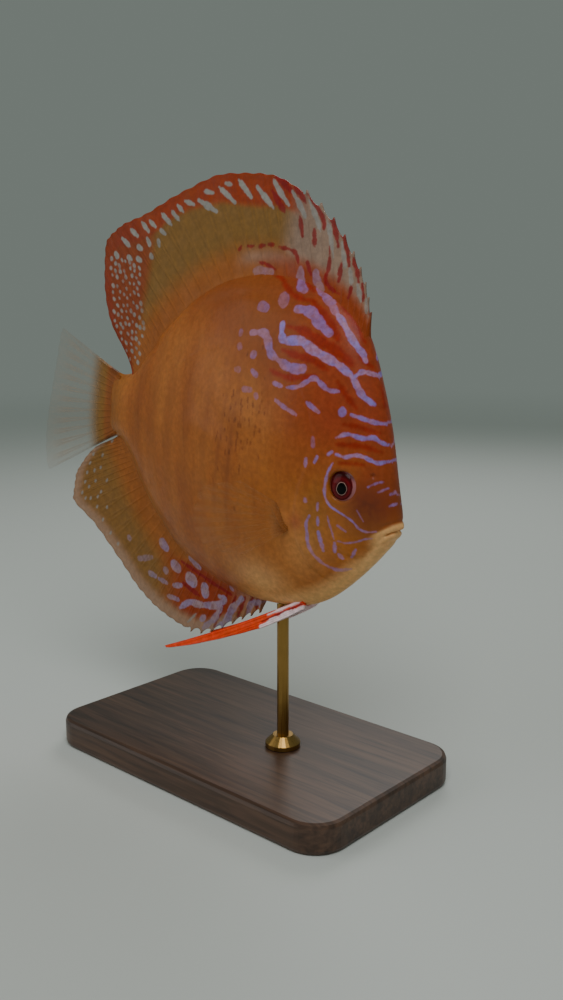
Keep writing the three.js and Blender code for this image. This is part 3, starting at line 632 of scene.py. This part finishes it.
def finSheet(spec):  # guides: share along the fin, root x and z, tip x and z
    guides = np.array(spec["guides"], float)
    column = [through(list(zip(guides[:, 0], guides[:, i]))) for i in range(1, 5)]
    rays, spines, per, rows = spec["rays"], spec.get("spines", 0), spec["perRay"], spec["rows"]
    k = np.linspace(0, rays - 1, (rays - 1) * per + 1)  # counts the rays from the front
    stretch = spec.get("stretch", 1.0)  # spines stand farther apart than soft rays
    spread = np.where(k < spines - 1, k * stretch, max(spines - 1, 0) * (stretch - 1) + k)
    u = spread / spread[-1]
    w = k - np.round(k)  # how far from the nearest ray
    spiny = (k < spines - 0.5).astype(float)
    root = np.stack([column[0](u), column[1](u)], -1)
    tip = np.stack([column[2](u), column[3](u)], -1)
    toTip = tip - root
    length = np.linalg.norm(toTip, axis=1)[:, None]
    pointed = np.exp(-np.abs(w) / rayShape["point"])
    soft = spec.get("notch", 0.35) * (np.cos(2 * math.pi * w) * 0.5 + 0.5)
    reach = (spiny * spec.get("lappet", 0.0) * (1.5 * pointed - 0.5) + (1 - spiny) * soft)[:, None]
    across = np.stack([-toTip[:, 1], toTip[:, 0]], -1) / length
    v = np.linspace(0, 1, rows + 1)[None, :]  # from root to edge
    p = root[:, None, :] + toTip[:, None, :] * (v * (1 + v * reach / length))[..., None]
    p = p + across[:, None, :] * (spec.get("bow", 0) * length * v * (1 - v))[..., None]
    # soft rays fork twice on the way out, spines don't
    fromRay = w[:, None] + 0 * v
    firstFork = rayShape["firstFork"] * smooth(v, 0.32, 0.62)
    secondFork = rayShape["secondFork"] * smooth(v, 0.6, 0.85)
    ridge = np.zeros(fromRay.shape)
    for a in (-1, 1):
        for b in (-1, 1):
            ridge = np.maximum(ridge, bell(fromRay - a * firstFork - b * secondFork, rayShape["soft"]))
    ridge = np.where(spiny[:, None] > 0, bell(fromRay, rayShape["spine"]), ridge)
    thick = (spec["rootHalf"] + (spec["edgeHalf"] - spec["rootHalf"]) * v**0.7) * rayShape["thin"]
    thick = thick + spec["ridge"] * ridge * (1 - 0.5 * v)
    if spec.get("flared"):  # the flesh runs out along the base of the fin, so no crease shows
        flesh = np.clip(0.86 * flankAt(root[:, 0], root[:, 1])[:, None] - thick[:, :1], 0.3, 3.2)
        thick = thick + flesh * np.exp(-v * length / (1.8 + 0.4 * flesh))
    wave = spec.get("wave", 0.0) * np.sin(2 * math.pi * spec.get("waves", 3) * u)[:, None] * v**1.6
    c, r = p.shape[0], rows + 1
    sides = [np.stack([p[..., 0], wave + side * thick, p[..., 1]], -1).reshape(-1, 3) for side in (1, -1)]
    half = c * r
    ci, ri = np.meshgrid(np.arange(c - 1), np.arange(rows), indexing="ij")
    a = (ci * r + ri).ravel()
    quad = np.stack([a, a + r, a + r + 1, a + 1], -1)
    out, over = np.arange(rows), np.arange(c - 1)
    rim = np.concatenate([out, over * r + rows, c * r - 1 - out, (c - 1 - over) * r])  # once round the sheet
    after = np.roll(rim, -1)
    edge = np.stack([rim, after, after + half, rim + half], -1)

    def rayPoint(at, share):  # x, z of a point on a ray, at a share of its length
        i = int(np.clip(round(at * per), 0, c - 1))
        j = share * rows
        low = int(np.clip(math.floor(j), 0, rows - 1))
        return p[i, low] + (p[i, low + 1] - p[i, low]) * (j - low)

    info = {"x": p[..., 0], "z": p[..., 1], "ridge": ridge}
    info.update({"fromRoot": v * length, "fromEdge": (1 - v) * length})
    info = {key: np.concatenate([values.ravel()] * 2) for key, values in info.items()}
    info["flat"] = np.stack([info["x"], 0 * info["x"], info["z"]], -1)  # where paint looks for its marks
    info["rayPoint"] = rayPoint
    return np.concatenate(sides), [quad, quad[:, ::-1] + half, edge], info


def finPiece(name, points, faces, painted, material):  # what isn't painted is plain
    plain = {
        "red": 0, "olive": 0, "pale": 0, "dark": 0, "lilac": unpainted, "lilacPower": 0,
        "redLine": unpainted, "spots": unpainted, "spotsPower": 0, "cover": 1,
    }
    meshPiece(name, points, faces, {**plain, **painted}, material, [name.replace("membrane", "fin")])


def rooted(rows, line, sink):  # guides whose roots lie under the body's outline
    last = len(rows) - 1
    return [(i / last, a, float(line(a)) - sink, b, c) for i, (a, b, c) in enumerate(rows)]


dorsal = {
    "guides": rooted([
        (43.2, 42.8, 52.5), (40, 38.6, 61), (35.5, 32.5, 69.5), (29, 23, 78.5), (20, 10, 85),
        (9, -5, 88.4), (-4, -23, 87), (-17, -42, 79.5), (-29, -60, 70.2), (-39, -75, 63.8),
        (-46, -82, 56.5), (-50.5, -80.2, 44), (-54, -75, 30.5), (-57, -67, 21.5), (-59, -61, 15.5),
    ], backLine, 3.5),
    "rays": 38, "spines": 9, "stretch": 1.35, "perRay": 16, "rows": 64, "rootHalf": 1.5, "edgeHalf": 0.3,
    "ridge": 0.24, "lappet": 1.6, "bow": 0.03, "wave": 0.55, "waves": 3.3, "flared": True,
}
dorsalWhite = [
    (0.95, 1, -17.5, 85.8, -10.7, 81), (0.95, 1, -8.9, 84.4, -0.6, 78.8),
    (0.85, 1, -25.7, 82.8, -17.5, 78.6), (0.7, 0.9, -23, 84.2, -20, 83.9), (1, 1, -34.3, 77.7, -25.3, 75),
    (0.75, 1, -32.2, 80.8, -27.9, 80.6), (0.75, 1, -40.8, 76.7, -36.2, 76),
    (0.75, 1, -44.1, 74.9, -41.1, 73.2), (0.75, 1, -47, 72.8, -42.5, 70.1),
    (0.85, 1, -51.9, 71.4, -46.3, 68.2), (0.8, 1, -52.1, 66, -49.1, 64.8),
    (0.8, 1, -58.1, 68.3, -54.5, 66.6), (0.9, 1, -62.3, 67.2, -58.1, 64.6),
    (0.95, 1, -68.3, 64, -64.1, 62.3), (0.95, 1, -72.9, 60.3, -68, 58.1),
    (0.9, 1, -58.7, 62.1, -56.5, 59.9), (0.9, 0.9, -52.5, 62.3, -51.8, 60.5),
    (1, 1, -63.6, 58.6, -61.1, 58.1), (1, 1, -76.3, 54.7, -74.5, 53.4),
    (0.95, 1, -69.1, 54.4, -66.5, 53.9), (1, 1, -63.6, 54.6, -61, 54), (0.95, 0.9, -56, 56.6, -55, 56.1),
    (0.9, 0.95, -2.3, 87.2, 1.1, 84, 5.8, 80.3), (0.9, 0.9, 6.4, 84.5, 10.7, 80.5, 13.5, 77.3),
    (0.85, 0.85, 13.8, 82.7, 17.8, 77.8, 20.1, 74.3), (0.8, 0.8, 22.1, 77.7, 24.1, 73.5, 26.5, 67.5),
    (0.7, 0.75, 28.6, 72.2, 30.2, 68, 31.4, 65), (0.7, 0.75, 32.8, 65.2, 34.5, 60.7),
    (0.65, 0.75, 36.5, 61, 38.6, 56.6), (0.55, 0.7, 40.2, 57.5, 41.2, 53.5),
]
dorsalRed = [
    (0.55, 1, -13, 64.3, -12, 65.5), (0.45, 1, -9.2, 66, -6.4, 66.4), (0.65, 1, -4.4, 66.5, -2, 67.3),
    (0.6, 1, -0.4, 67.8, 2, 67.9), (0.55, 1, 4.2, 67.5, 8.5, 67.6),
    (0.65, 1, 8.5, 67.6, 11.4, 66.7, 13.3, 63.7), (0.7, 1, 16.6, 65.1, 17.4, 63.4, 19, 61.2),
    (0.55, 0.9, -3.5, 62, 0.5, 61.6, 4.5, 60.6), (1, 1, -1.6, 88.6, 2.4, 86.5, 6.5, 84.2),
    (0.85, 1, 7.1, 85.9, 10, 84.2, 12.7, 81.7), (0.8, 1, 12.6, 84.5, 17.6, 80.9, 20.8, 77.5, 21.3, 75),
    (0.8, 1, 22.5, 79.9, 25.3, 76.2, 27.6, 70.8), (0.75, 1, 28, 74.9, 30.4, 71.5, 32.5, 65.8),
    (0.7, 1, 33.4, 68.4, 35.2, 65.3, 36.6, 61.7), (0.6, 1, 37.8, 61.4, 39.3, 56.8),
    (0.5, 1, 41.6, 57.2, 42.4, 53.6), (1, 1, -2.2, 84, 1.7, 80.5, 4.4, 78.2),
    (0.8, 1, 11, 77.6, 13.1, 72.1), (0.8, 1, 17.5, 74.6, 18.6, 69.6),
    (0.65, 1, 24.5, 70.4, 25.3, 65.1, 24.8, 60.8, 27.3, 58.6, 31, 57.3), (0.75, 1, 29.7, 66, 29.8, 61),
    (0.6, 1, 34.6, 60.5, 34.4, 56.8),
]
dorsalLilac = [
    (1.5, 0.4, -4.3, 59, 2.8, 59.4), (1.3, 0.5, 14.4, 62.5, 15.4, 59.5, 17.3, 57.5),
    (1.2, 0.55, 20.6, 62.4, 21.5, 60.3, 24.6, 57.5),
]


def scatterSpots(inside, box, gap, sizes, seed, slant=(0.6, -0.35)):  # no two closer than the gap
    dice = random.Random(seed)
    kept = []
    for _ in range(6000):
        x, z = dice.uniform(box[0], box[1]), dice.uniform(box[2], box[3])
        if not inside(x, z) or any(math.hypot(x - a, z - b) < gap for a, b in kept):
            continue
        kept.append((x, z))
    marks = []
    for x, z in kept:
        size, long, power = dice.uniform(*sizes), dice.uniform(0.2, 1.9), dice.uniform(0.6, 0.95)
        marks.append((size, power, x, z, x + slant[0] * long, z + slant[1] * long))
    return marks


def inRearPatch(a, b):
    outer = float(np.interp(b, [17, 21.5, 30.5, 44, 56.5, 60], [-62, -66, -73.5, -78.5, -80, -77]))
    return 18 < b < 53 and outer + 0.8 < a < max(outer + 3, min(-57 + 0.12 * (b - 20), outer + 18))


points, faces, info = finSheet(dorsal)
fx, fz, fromEdge, fromRoot = info["x"], info["z"], info["fromEdge"], info["fromRoot"]
rearSpots = scatterSpots(inRearPatch, (-81, -54, 17, 53), 2.1, (0.42, 0.75), 11)
marks = {"spots": (dorsalWhite + rearSpots, 0.85), "redLine": (dorsalRed, 0.8), "lilac": (dorsalLilac, 0.45)}
bandWidth = 5.5 + 4.5 * bell(fx + 10, 22) + 4 * bell(fx + 62, 10)
red = 0.95 * smooth(-fromEdge, -bandWidth - 2.0, -bandWidth + 1.0) * smooth(-fx, -16, -4)
rear = smooth(-fx + 0.12 * (fz - 20), 57, 63) * smooth(-fz, -70, -60)
red = np.maximum(red, 0.7 * rear)
red = np.maximum(red, 0.8 * smooth(fx, -10, 16) * smooth(-fromRoot, -12, -6))
olive = smooth(fromRoot, 6, 17) * (1 - red) * smooth(-fx, -22, -6)
band, _, share = away(fx, fz, [(-16, 59.8), (-7.7, 62.9), (0.9, 64.3), (9.5, 64.2), (13.3, 61.8)])
grey = smooth(fx, 2, 12) * smooth(fromRoot, 5, 11)
grey = np.maximum(grey, 0.65 * bell(band, 2.4) * smooth(share, 0, 0.3))
# The last term darkens the fin near its root: painted shade matching the body's shaded top edge, together
# with the rust there
dark = 0.06 * info["ridge"] * smooth(fromRoot, 8, 16) + 0.3 * rear + 0.16 * smooth(-fromRoot, -10, -4)
finPiece("dorsal_membrane", points, faces, {
    **marksOn(info["flat"], **marks), "red": red, "olive": olive, "grey": grey, "dark": dark,
    "cover": 1 - 0.16 * olive - 0.05 * smooth(-fromEdge, -3, 0),
}, membrane)

anal = {
    "guides": rooted([
        (18, 16, -51.5), (13, 8, -57.5), (6, -1, -64.5), (-2, -10.5, -70.2), (-10, -21, -72),
        (-19, -34, -71), (-28, -46, -67.5), (-37, -59, -59.5), (-45, -75, -50), (-51, -90, -43.5),
        (-54.5, -90, -35), (-57.5, -86, -27.2), (-60, -77.5, -18.8), (-62, -68.7, -14.2),
    ], bellyLine, -3.5),
    "rays": 34, "spines": 8, "stretch": 1.35, "perRay": 16, "rows": 56, "rootHalf": 1.5, "edgeHalf": 0.3,
    "ridge": 0.24, "lappet": 1.6, "bow": -0.03, "wave": 0.5, "waves": 2.7, "flared": True,
}
analLilac = [
    (1.9, 0.8, -35.5, -44.5, -33, -45.7), (1.1, 0.45, -47.8, -55.5, -40.5, -52.3),
    (2.1, 0.8, -28.1, -50.8, -25.8, -51.3), (1.4, 0.8, -18.7, -44.9, -14, -46.8),
    (1.2, 0.75, -32.7, -54.5, -31.7, -54.8), (1.1, 0.8, -41.5, -59, -37.7, -59),
    (0.8, 0.7, -35.7, -59.3, -31.1, -59.2), (0.95, 0.8, -27, -58.7, -23.1, -57.2),
    (2.3, 0.9, -19.2, -52.9, -17, -53.3), (1.8, 0.9, -10.9, -53, -10.4, -56),
    (0.9, 0.8, -29.9, -64.1, -24, -63.2),
    (1.25, 0.95, -22.7, -66.1, -17.9, -61.9, -12.8, -60.8, -4.6, -58, -0.9, -54.3, -3.5, -54),
    (1.05, 0.9, -2.1, -57.3, -4.6, -62.9, -9.7, -69),
    (1.25, 0.95, 7.5, -50.5, 2.8, -56.7, 1, -61.2, -3.1, -66.4), (1, 0.8, -11.1, -66.1, -9.6, -64.5),
    (1, 0.95, 16.6, -48.2, 11.6, -51.3, 10.1, -56.3), (0.35, 0.9, 15.3, -49.3, 15.6, -51),
    (0.8, 0.6, 2.3, -48.4, 3.1, -48.7), (1, 0.6, -54.6, -49, -53.5, -49.3),
]
analSpots = [
    (-80.2, -23.3), (-74.2, -22), (-81.9, -27.5), (-74.6, -27.1), (-83, -31.6), (-83.6, -35.6),
    (-77, -33.3), (-80.8, -36.8), (-84.7, -40.4), (-72.9, -36.5), (-82.3, -42), (-74.7, -39.1),
    (-74.7, -43.2), (-70.6, -47.4), (-68.9, -14.9), (-79, -41), (-70, -31), (-78.4, -29.4),
    (-68.6, -41.5), (-65.5, -51.2), (-60.8, -54.2),
]
points, faces, info = finSheet(anal)
fx, fromEdge, fromRoot = info["x"], info["fromEdge"], info["fromRoot"]
spotMarks = [(0.55, 0.8, a, b, a + 0.5, b + 0.8) for a, b in analSpots]
spotMarks.append((0.4, 0.8, -13.9, -64.9, -17.6, -69.7))
redMarks = [  # along the first spines, then two across
    (0.55, 1, *np.concatenate([info["rayPoint"](at, share) for share in (0.95, 0.6, 0.3)]))
    for at in (0.6, 1.6, 2.7, 3.8, 4.9)
] + [(0.7, 1, -24, -48, -8, -50, 2, -51), (0.9, 1, -22, -56, -13, -57.5)]
marks = {"spots": (spotMarks, 0.45), "redLine": (redMarks, 0.45), "lilac": (analLilac, 0.45)}
forward = smooth(fx, -30, -12)
red = 0.95 * smooth(fx, -40, -18) * smooth(fromEdge, 2.5, 7)
red = red * smooth(fromRoot, 5 - 4.5 * forward, 11 - 7 * forward)
margin = smooth(-fromEdge, -8, -2) * smooth(-fx, -14, 4)
olive = 0.85 * smooth(fromRoot, 8, 19) * (1 - red) * (1 - 0.6 * margin)
finPiece("anal_membrane", points, faces, {
    **marksOn(info["flat"], **marks), "red": red, "olive": olive,
    "pale": np.maximum(0.7 * margin, 0.5 * smooth(fx, 0, 10)),
    "dark": 0.05 * info["ridge"] * smooth(fromRoot, 8, 16), "cover": 1 - 0.14 * olive - 0.22 * margin,
}, membrane)

tail = {
    "guides": [
        (0, -66, 11, -84, 15.5), (0.12, -66, 10, -105, 21.5), (0.3, -66, 6, -108, 9),
        (0.5, -66, 0, -109, -7), (0.7, -66, -6, -109.5, -23), (0.88, -66, -10, -107, -36.5),
        (1, -66, -11, -84, -21.5),
    ],
    "rays": 17, "perRay": 20, "rows": 48, "rootHalf": 1.4, "edgeHalf": 0.3, "ridge": 0.24,
    "wave": 1.0, "waves": 1.1, "flared": True,
}
points, faces, info = finSheet(tail)
fromRoot, fromEdge, ridge = info["fromRoot"], info["fromEdge"], info["ridge"]
base = smooth(-fromRoot, -21, -9)
finPiece("tail_membrane", points, faces, {
    "olive": 0.9 * smooth(fromRoot, 7, 10), "pale": 0.6 * ridge * smooth(fromRoot, 12, 20),
    "dark": 0.45 * bell(fromRoot - 5.5, 3.0),
    "cover": np.clip(base + (1 - base) * (0.06 + 0.16 * ridge * smooth(fromEdge, 0, 14)), 0, 1),
}, membrane)
print("long fins done")

# Paired fins are made lying at the origin, then bent outward, turned about x, y and z, and put at their root
pelvic = {
    "guides": [
        (0, 3, 0.6, -62, -0.4), (0.2, 3, -0.2, -61, -1.2), (0.4, 3, -1, -48, -2.8),
        (0.7, 2.4, -1.8, -31, -3.8), (1, 2, -2.6, -16, -4.2),
    ],
    "rays": 6, "spines": 1, "perRay": 14, "rows": 110, "rootHalf": 0.8, "edgeHalf": 0.26, "ridge": 0.3,
    "bow": 0.04, "bend": 0.0008, "root": (33.5, 3, -41.8), "turns": (0.35, math.radians(-34.5), -0.1),
}
pelvicMarks = {
    "spots": (
        [(1.05, 1, 3, -2.0, -4, -2.7, -11, -3.3, -17, -3.8), (0.5, 0.9, 3, 0.1, -6, -0.3, -13, -0.8)], 0.8,
    ),
    "lilac": ([(0.35, 0.7, 3, -2.4, -6, -3.5, -14, -4.2)], 0.45),
    "redLine": ([(0.4, 1, 3, -0.9, -6, -1.5, -16, -2.4)], 0.8),
}
pectoral = {
    "guides": [
        (0, 1.2, 3.4, -14, 12), (0.2, 1.2, 2.2, -27, 10), (0.5, 1.2, 0, -32, -1),
        (0.8, 1.2, -2.2, -26, -10), (1, 1.2, -3.4, -14, -11.5),
    ],
    "rays": 11, "perRay": 20, "rows": 44, "rootHalf": 0.6, "edgeHalf": 0.26, "ridge": 0.16,
    "bend": -0.003, "root": (31.3, 12.9, -12), "turns": (0.12, math.radians(-12), -0.42),
}


def pairedFin(spec, sign):  # 1 on the left, -1 on the right
    points, faces, info = finSheet(spec)
    points[:, 1] += sign * spec["bend"] * points[:, 0] ** 2
    a, b, c = spec["turns"][0] * sign, spec["turns"][1], spec["turns"][2] * sign
    rx = np.array([[1, 0, 0], [0, math.cos(a), -math.sin(a)], [0, math.sin(a), math.cos(a)]])
    ry = np.array([[math.cos(b), 0, math.sin(b)], [0, 1, 0], [-math.sin(b), 0, math.cos(b)]])
    rz = np.array([[math.cos(c), -math.sin(c), 0], [math.sin(c), math.cos(c), 0], [0, 0, 1]])
    return points @ (rz @ ry @ rx).T + np.array(spec["root"]) * [1, sign, 1], faces, info


for word, sign in (("left", 1), ("right", -1)):
    points, faces, info = pairedFin(pelvic, sign)
    painted = {"red": 1, **marksOn(info["flat"], **pelvicMarks)}
    finPiece("pelvic_membrane_" + word, points, faces, painted, pelvicBlade)
    points, faces, info = pairedFin(pectoral, sign)
    base = smooth(-info["fromRoot"], -7, -1)
    finPiece("pectoral_membrane_" + word, points, faces, {
        "red": 0.2 * base, "olive": 0.2, "pale": 0.4 * (1 - base), "dark": 0.1 * info["ridge"],
        "cover": np.clip(0.5 * base + 0.03 + 0.13 * info["ridge"], 0, 1),
    }, membrane)
print("paired fins done")

# Eyes: a clear wet cornea over a red iris, so a glossy ball with a black pupil in a bright ring
eyes = {
    "radius": 5.5,
    "bulge": 3.2,  # the front is flatter than a ball
    "side": 7.8,  # its middle from the fish's own middle
    "looks": (0.12, 1.0, -0.03),  # a little forward and down
    "pupilAhead": 0.95,
    "pupilBelow": 0.35,
    "rings": 90,
    "turns": 96,
    "black": "#020202",
    "ring": "#b08c80",
    "deep": "#45060a",
    "red": "#6e1016",
    "rose": "#a3686a",
    "shade": "#1a0506",  # under the brow
    "streak": 10 / 9,  # millimetres, the width of a streak of the iris
    "ragged": 0.35,  # millimetres that the streaks move the rings
    "span": 0.16,  # of the colour ramp, for each millimetre from the pupil's middle
    "stops": [
        (0.0, "black"), (0.326, "black"), (0.336, "ring"), (0.344, "ring"), (0.366, "deep"), (0.52, "red"),
        (0.66, "deep"), (0.72, "red"), (0.755, "rose"), (0.84, "rose"),
    ],
}
eyeMaterial, tree = newMaterial("wetFishEye")
fromAxis = addNode(tree, "Attribute", output="Fac", attribute_name="fromAxis")
shade = addNode(tree, "Attribute", output="Fac", attribute_name="shade")
place = addNode(tree, "TexCoord", output="Object")
streaks = addNode(tree, "TexNoise", {"Vector": place, "Scale": 1000 / eyes["streak"], "Detail": 4.0})
inputs = {0: streaks, 1: eyes["ragged"], 2: fromAxis}
jagged = addNode(tree, "Math", inputs, operation="MULTIPLY_ADD")
onRamp = addNode(tree, "Math", {0: jagged, 1: eyes["span"]}, operation="MULTIPLY")
iris = addNode(tree, "ValToRGB", {0: onRamp})
elements = iris.node.color_ramp.elements
while len(elements) < len(eyes["stops"]):
    elements.new(0.5)
for element, (at, key) in zip(elements, eyes["stops"]):
    element.position = at
    element.color = linear(eyes[key])
inputs = {"Factor": shade, 6: iris, 7: eyes["shade"]}
shaded = addNode(tree, "Mix", inputs, 2, data_type="RGBA")
surface = addNode(tree, "BsdfPrincipled", {
    "Base Color": shaded, "Roughness": 0.35, "IOR": 1.38, "Specular IOR Level": 0.06, "Coat Weight": 0.2,
    "Coat Roughness": 0.02,
})
addNode(tree, "OutputMaterial", {"Surface": surface})
for word, sign in (("left", 1), ("right", -1)):
    axis = np.array(eyes["looks"]) * [1, sign, 1]
    axis /= np.linalg.norm(axis)
    upward = np.array([0, 0, 1.0]) - axis * axis[2]
    upward /= np.linalg.norm(upward)
    forward = np.cross(upward, axis)
    polar = np.linspace(0, math.pi, eyes["rings"] + 1)[1:-1][:, None]
    around = np.linspace(0, 2 * math.pi, eyes["turns"], endpoint=False)[None, :]
    r = eyes["radius"] * np.sin(polar)
    inFront = np.cos(polar) > 0
    radius = eyes["radius"] - 0.18 * bell(r - 4.55, 0.35) * inFront  # the cornea's edge
    radius = radius + 0.05 * bell(r, 1.6) * inFront
    ball = (
        axis * (radius * np.cos(polar) * eyes["bulge"] / eyes["radius"] + 0 * around)[..., None]
        + forward * (body["eyeOval"] * radius * np.sin(polar) * np.cos(around))[..., None]
        + upward * (radius * np.sin(polar) * np.sin(around))[..., None]
    )
    middle = np.array([body["eye"][0], sign * eyes["side"], body["eye"][1]])
    ends = [middle + axis * eyes["bulge"], middle - axis * eyes["bulge"]]
    points = np.concatenate([ball.reshape(-1, 3) + middle, ends])
    ringRows, turns = eyes["rings"] - 1, eyes["turns"]
    faces = [closedGrid(ringRows, turns), fan(0, turns, len(points) - 2)]
    faces.append(fan((ringRows - 1) * turns, turns, len(points) - 1)[:, ::-1])
    if sign < 0:
        faces = [f[:, ::-1] for f in faces]
    # millimetres from the pupil's middle; the pupil sits a little ahead of and below the ball's
    toFront, toTop = -sign * r * np.cos(around), r * np.sin(around)
    inner = np.clip(1.25 - r / 4.2, 0, 1)
    fromPupil = np.hypot(toFront - eyes["pupilAhead"] * inner, toTop + eyes["pupilBelow"] * inner)
    fromPupil = fromPupil + 0.35 * smooth(r, 3.2, 4.4) * (toFront - toTop) / np.maximum(r, 1)  # the rose rim
    fromPupil = fromPupil + (np.cos(polar) < 0) * 8.0  # the back of the ball has no pupil
    height = (np.sin(polar) * np.sin(around)).ravel()
    meshPiece("eyeball_" + word, points, faces, {
        "fromAxis": np.concatenate([fromPupil.ravel(), [1, 8]]),
        "shade": np.concatenate([0.75 * smooth(height, 0.3, 0.75), [0, 0]]),
    }, eyeMaterial, ["eye_" + word])
print("eyes done")

# Stand base: oiled walnut, planed and sanded, so long dark grain with a low sheen. Sizes in millimetres.
wood = {"light": "#5a4030", "dark": "#2a1b13", "grain": 1.6, "figure": 14.0, "roughness": 0.42}
walnut, tree = newMaterial("oiledWalnut")
place = addNode(tree, "TexCoord", output="Object")
along = addNode(tree, "Mapping", {"Vector": place, "Scale": (0.06, 1.0, 1.0)})
inputs = {"Vector": along, "Scale": 1000 / wood["grain"], "Detail": 6.0, "Distortion": 0.6}
grain = addNode(tree, "TexNoise", inputs)
inputs = {"Vector": along, "Scale": 1000 / wood["figure"], "Detail": 2.0, "Distortion": 1.2}
figure = addNode(tree, "TexNoise", inputs)
both = addNode(tree, "Math", {0: grain, 1: figure}, operation="MULTIPLY")
tone = addNode(tree, "MapRange", {"Value": both, "From Min": 0.12, "From Max": 0.38})
inputs = {"Factor": tone, 6: wood["dark"], 7: wood["light"]}
colour = addNode(tree, "Mix", inputs, 2, data_type="RGBA")
bump = addNode(tree, "Bump", {"Strength": 0.25, "Distance": 0.0001, "Height": grain})
inputs = {"Base Color": colour, "Normal": bump, "Roughness": wood["roughness"], "IOR": 1.5}
surface = addNode(tree, "BsdfPrincipled", inputs)
addNode(tree, "OutputMaterial", {"Surface": surface})

# Stand rod: drawn brass, polished by hand, so a warm metal with faint drawing lines. Real lines are finer
# than 0.4 mm: they are drawn as coarse as they need to show.
brass = {"colour": "#b08a4c", "tarnish": "#8a6a38", "lines": 0.4, "cloud": 25 / 3, "roughness": 0.28}
drawnBrass, tree = newMaterial("drawnBrass")
place = addNode(tree, "TexCoord", output="Object")
along = addNode(tree, "Mapping", {"Vector": place, "Scale": (1.0, 1.0, 0.03)})
inputs = {"Vector": along, "Scale": 1000 / brass["lines"], "Detail": 2.0}
lines = addNode(tree, "TexNoise", inputs)
cloud = addNode(tree, "TexNoise", {"Vector": place, "Scale": 1000 / brass["cloud"], "Detail": 3.0})
inputs = {"Factor": cloud, 6: brass["colour"], 7: brass["tarnish"]}
colour = addNode(tree, "Mix", inputs, 2, data_type="RGBA")
inputs = {"Value": lines, "To Min": brass["roughness"] - 0.06, "To Max": brass["roughness"] + 0.1}
rough = addNode(tree, "MapRange", inputs)
inputs = {"Base Color": colour, "Roughness": rough, "Metallic": 1.0}
surface = addNode(tree, "BsdfPrincipled", inputs)
addNode(tree, "OutputMaterial", {"Surface": surface})
for name, material in (("stand_base", walnut), ("stand_rod", drawnBrass)):
    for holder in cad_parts[name].material_slots:
        holder.material = material
print("stand done")

# Floor and air: matt paint that fades into the air of the room, so no horizon shows. Metres and watts.
studio = {
    "floor": "#c9cdc8",
    "world": "#949f98",
    "worldPower": 0.55,
    "fade": (0.35, 1.8),  # how far from the model the floor starts and ends to fade
    "floorHalf": 60.0,
    "lights": [  # name, power, size, place, and the point it faces
        ("key", 3.6, 0.5, (0.35, -0.35, 0.75), (0, 0, 0.11)),
        ("fill", 1.3, 0.6, (-0.5, -0.55, 0.35), (0, 0, 0.1)),
        ("rim", 1.6, 0.4, (-0.3, 0.6, 0.6), (0, 0, 0.12)),
    ],
    "cameraPlace": (0.23105, -0.23875, 0.15677),
    "cameraFaces": (-0.657278, 0.729982, -0.187381),  # a direction
    "lens": 36.0,
}
scene = bpy.context.scene
material, tree = newMaterial("paleFloor")
matt = addNode(tree, "BsdfPrincipled", {"Base Color": studio["floor"], "Roughness": 0.8})
haze = addNode(tree, "Emission", {"Color": studio["world"], "Strength": studio["worldPower"]})
place = addNode(tree, "TexCoord", output="Object")
distance = addNode(tree, "VectorMath", {0: place}, "Value", operation="LENGTH")
inputs = {"Value": distance, "From Min": studio["fade"][0], "From Max": studio["fade"][1]}
fade = addNode(tree, "MapRange", inputs, interpolation_type="SMOOTHSTEP")
surface = addNode(tree, "MixShader", {0: fade, 1: matt, 2: haze})
addNode(tree, "OutputMaterial", {"Surface": surface})
mesh = bpy.data.meshes.new("floor")
far = studio["floorHalf"]
mesh.from_pydata([(-far, -far, 0), (far, -far, 0), (far, far, 0), (-far, far, 0)], [], [(0, 1, 2, 3)])
mesh.materials.append(material)
floor = bpy.data.objects.new("floor", mesh)
scene.collection.objects.link(floor)

world = bpy.data.worlds.new("studio")
world.use_nodes = True
background = world.node_tree.nodes["Background"]
background.inputs["Color"].default_value = linear(studio["world"])
background.inputs["Strength"].default_value = studio["worldPower"]
scene.world = world
for name, power, size, where, aim in studio["lights"]:
    lamp = bpy.data.lights.new(name, "AREA")
    lamp.energy = power
    lamp.size = size
    holder = bpy.data.objects.new(name, lamp)
    holder.location = where
    holder.rotation_euler = (Vector(aim) - Vector(where)).to_track_quat("-Z", "Y").to_euler()
    scene.collection.objects.link(holder)

camera = bpy.data.cameras.new("photo")
camera.lens = studio["lens"]
camera.sensor_width = 36.0
camera.clip_start = 0.01
viewer = bpy.data.objects.new("photo", camera)
viewer.location = studio["cameraPlace"]
viewer.rotation_euler = Vector(studio["cameraFaces"]).to_track_quat("-Z", "Y").to_euler()
scene.collection.objects.link(viewer)
scene.camera = viewer
print("studio done")
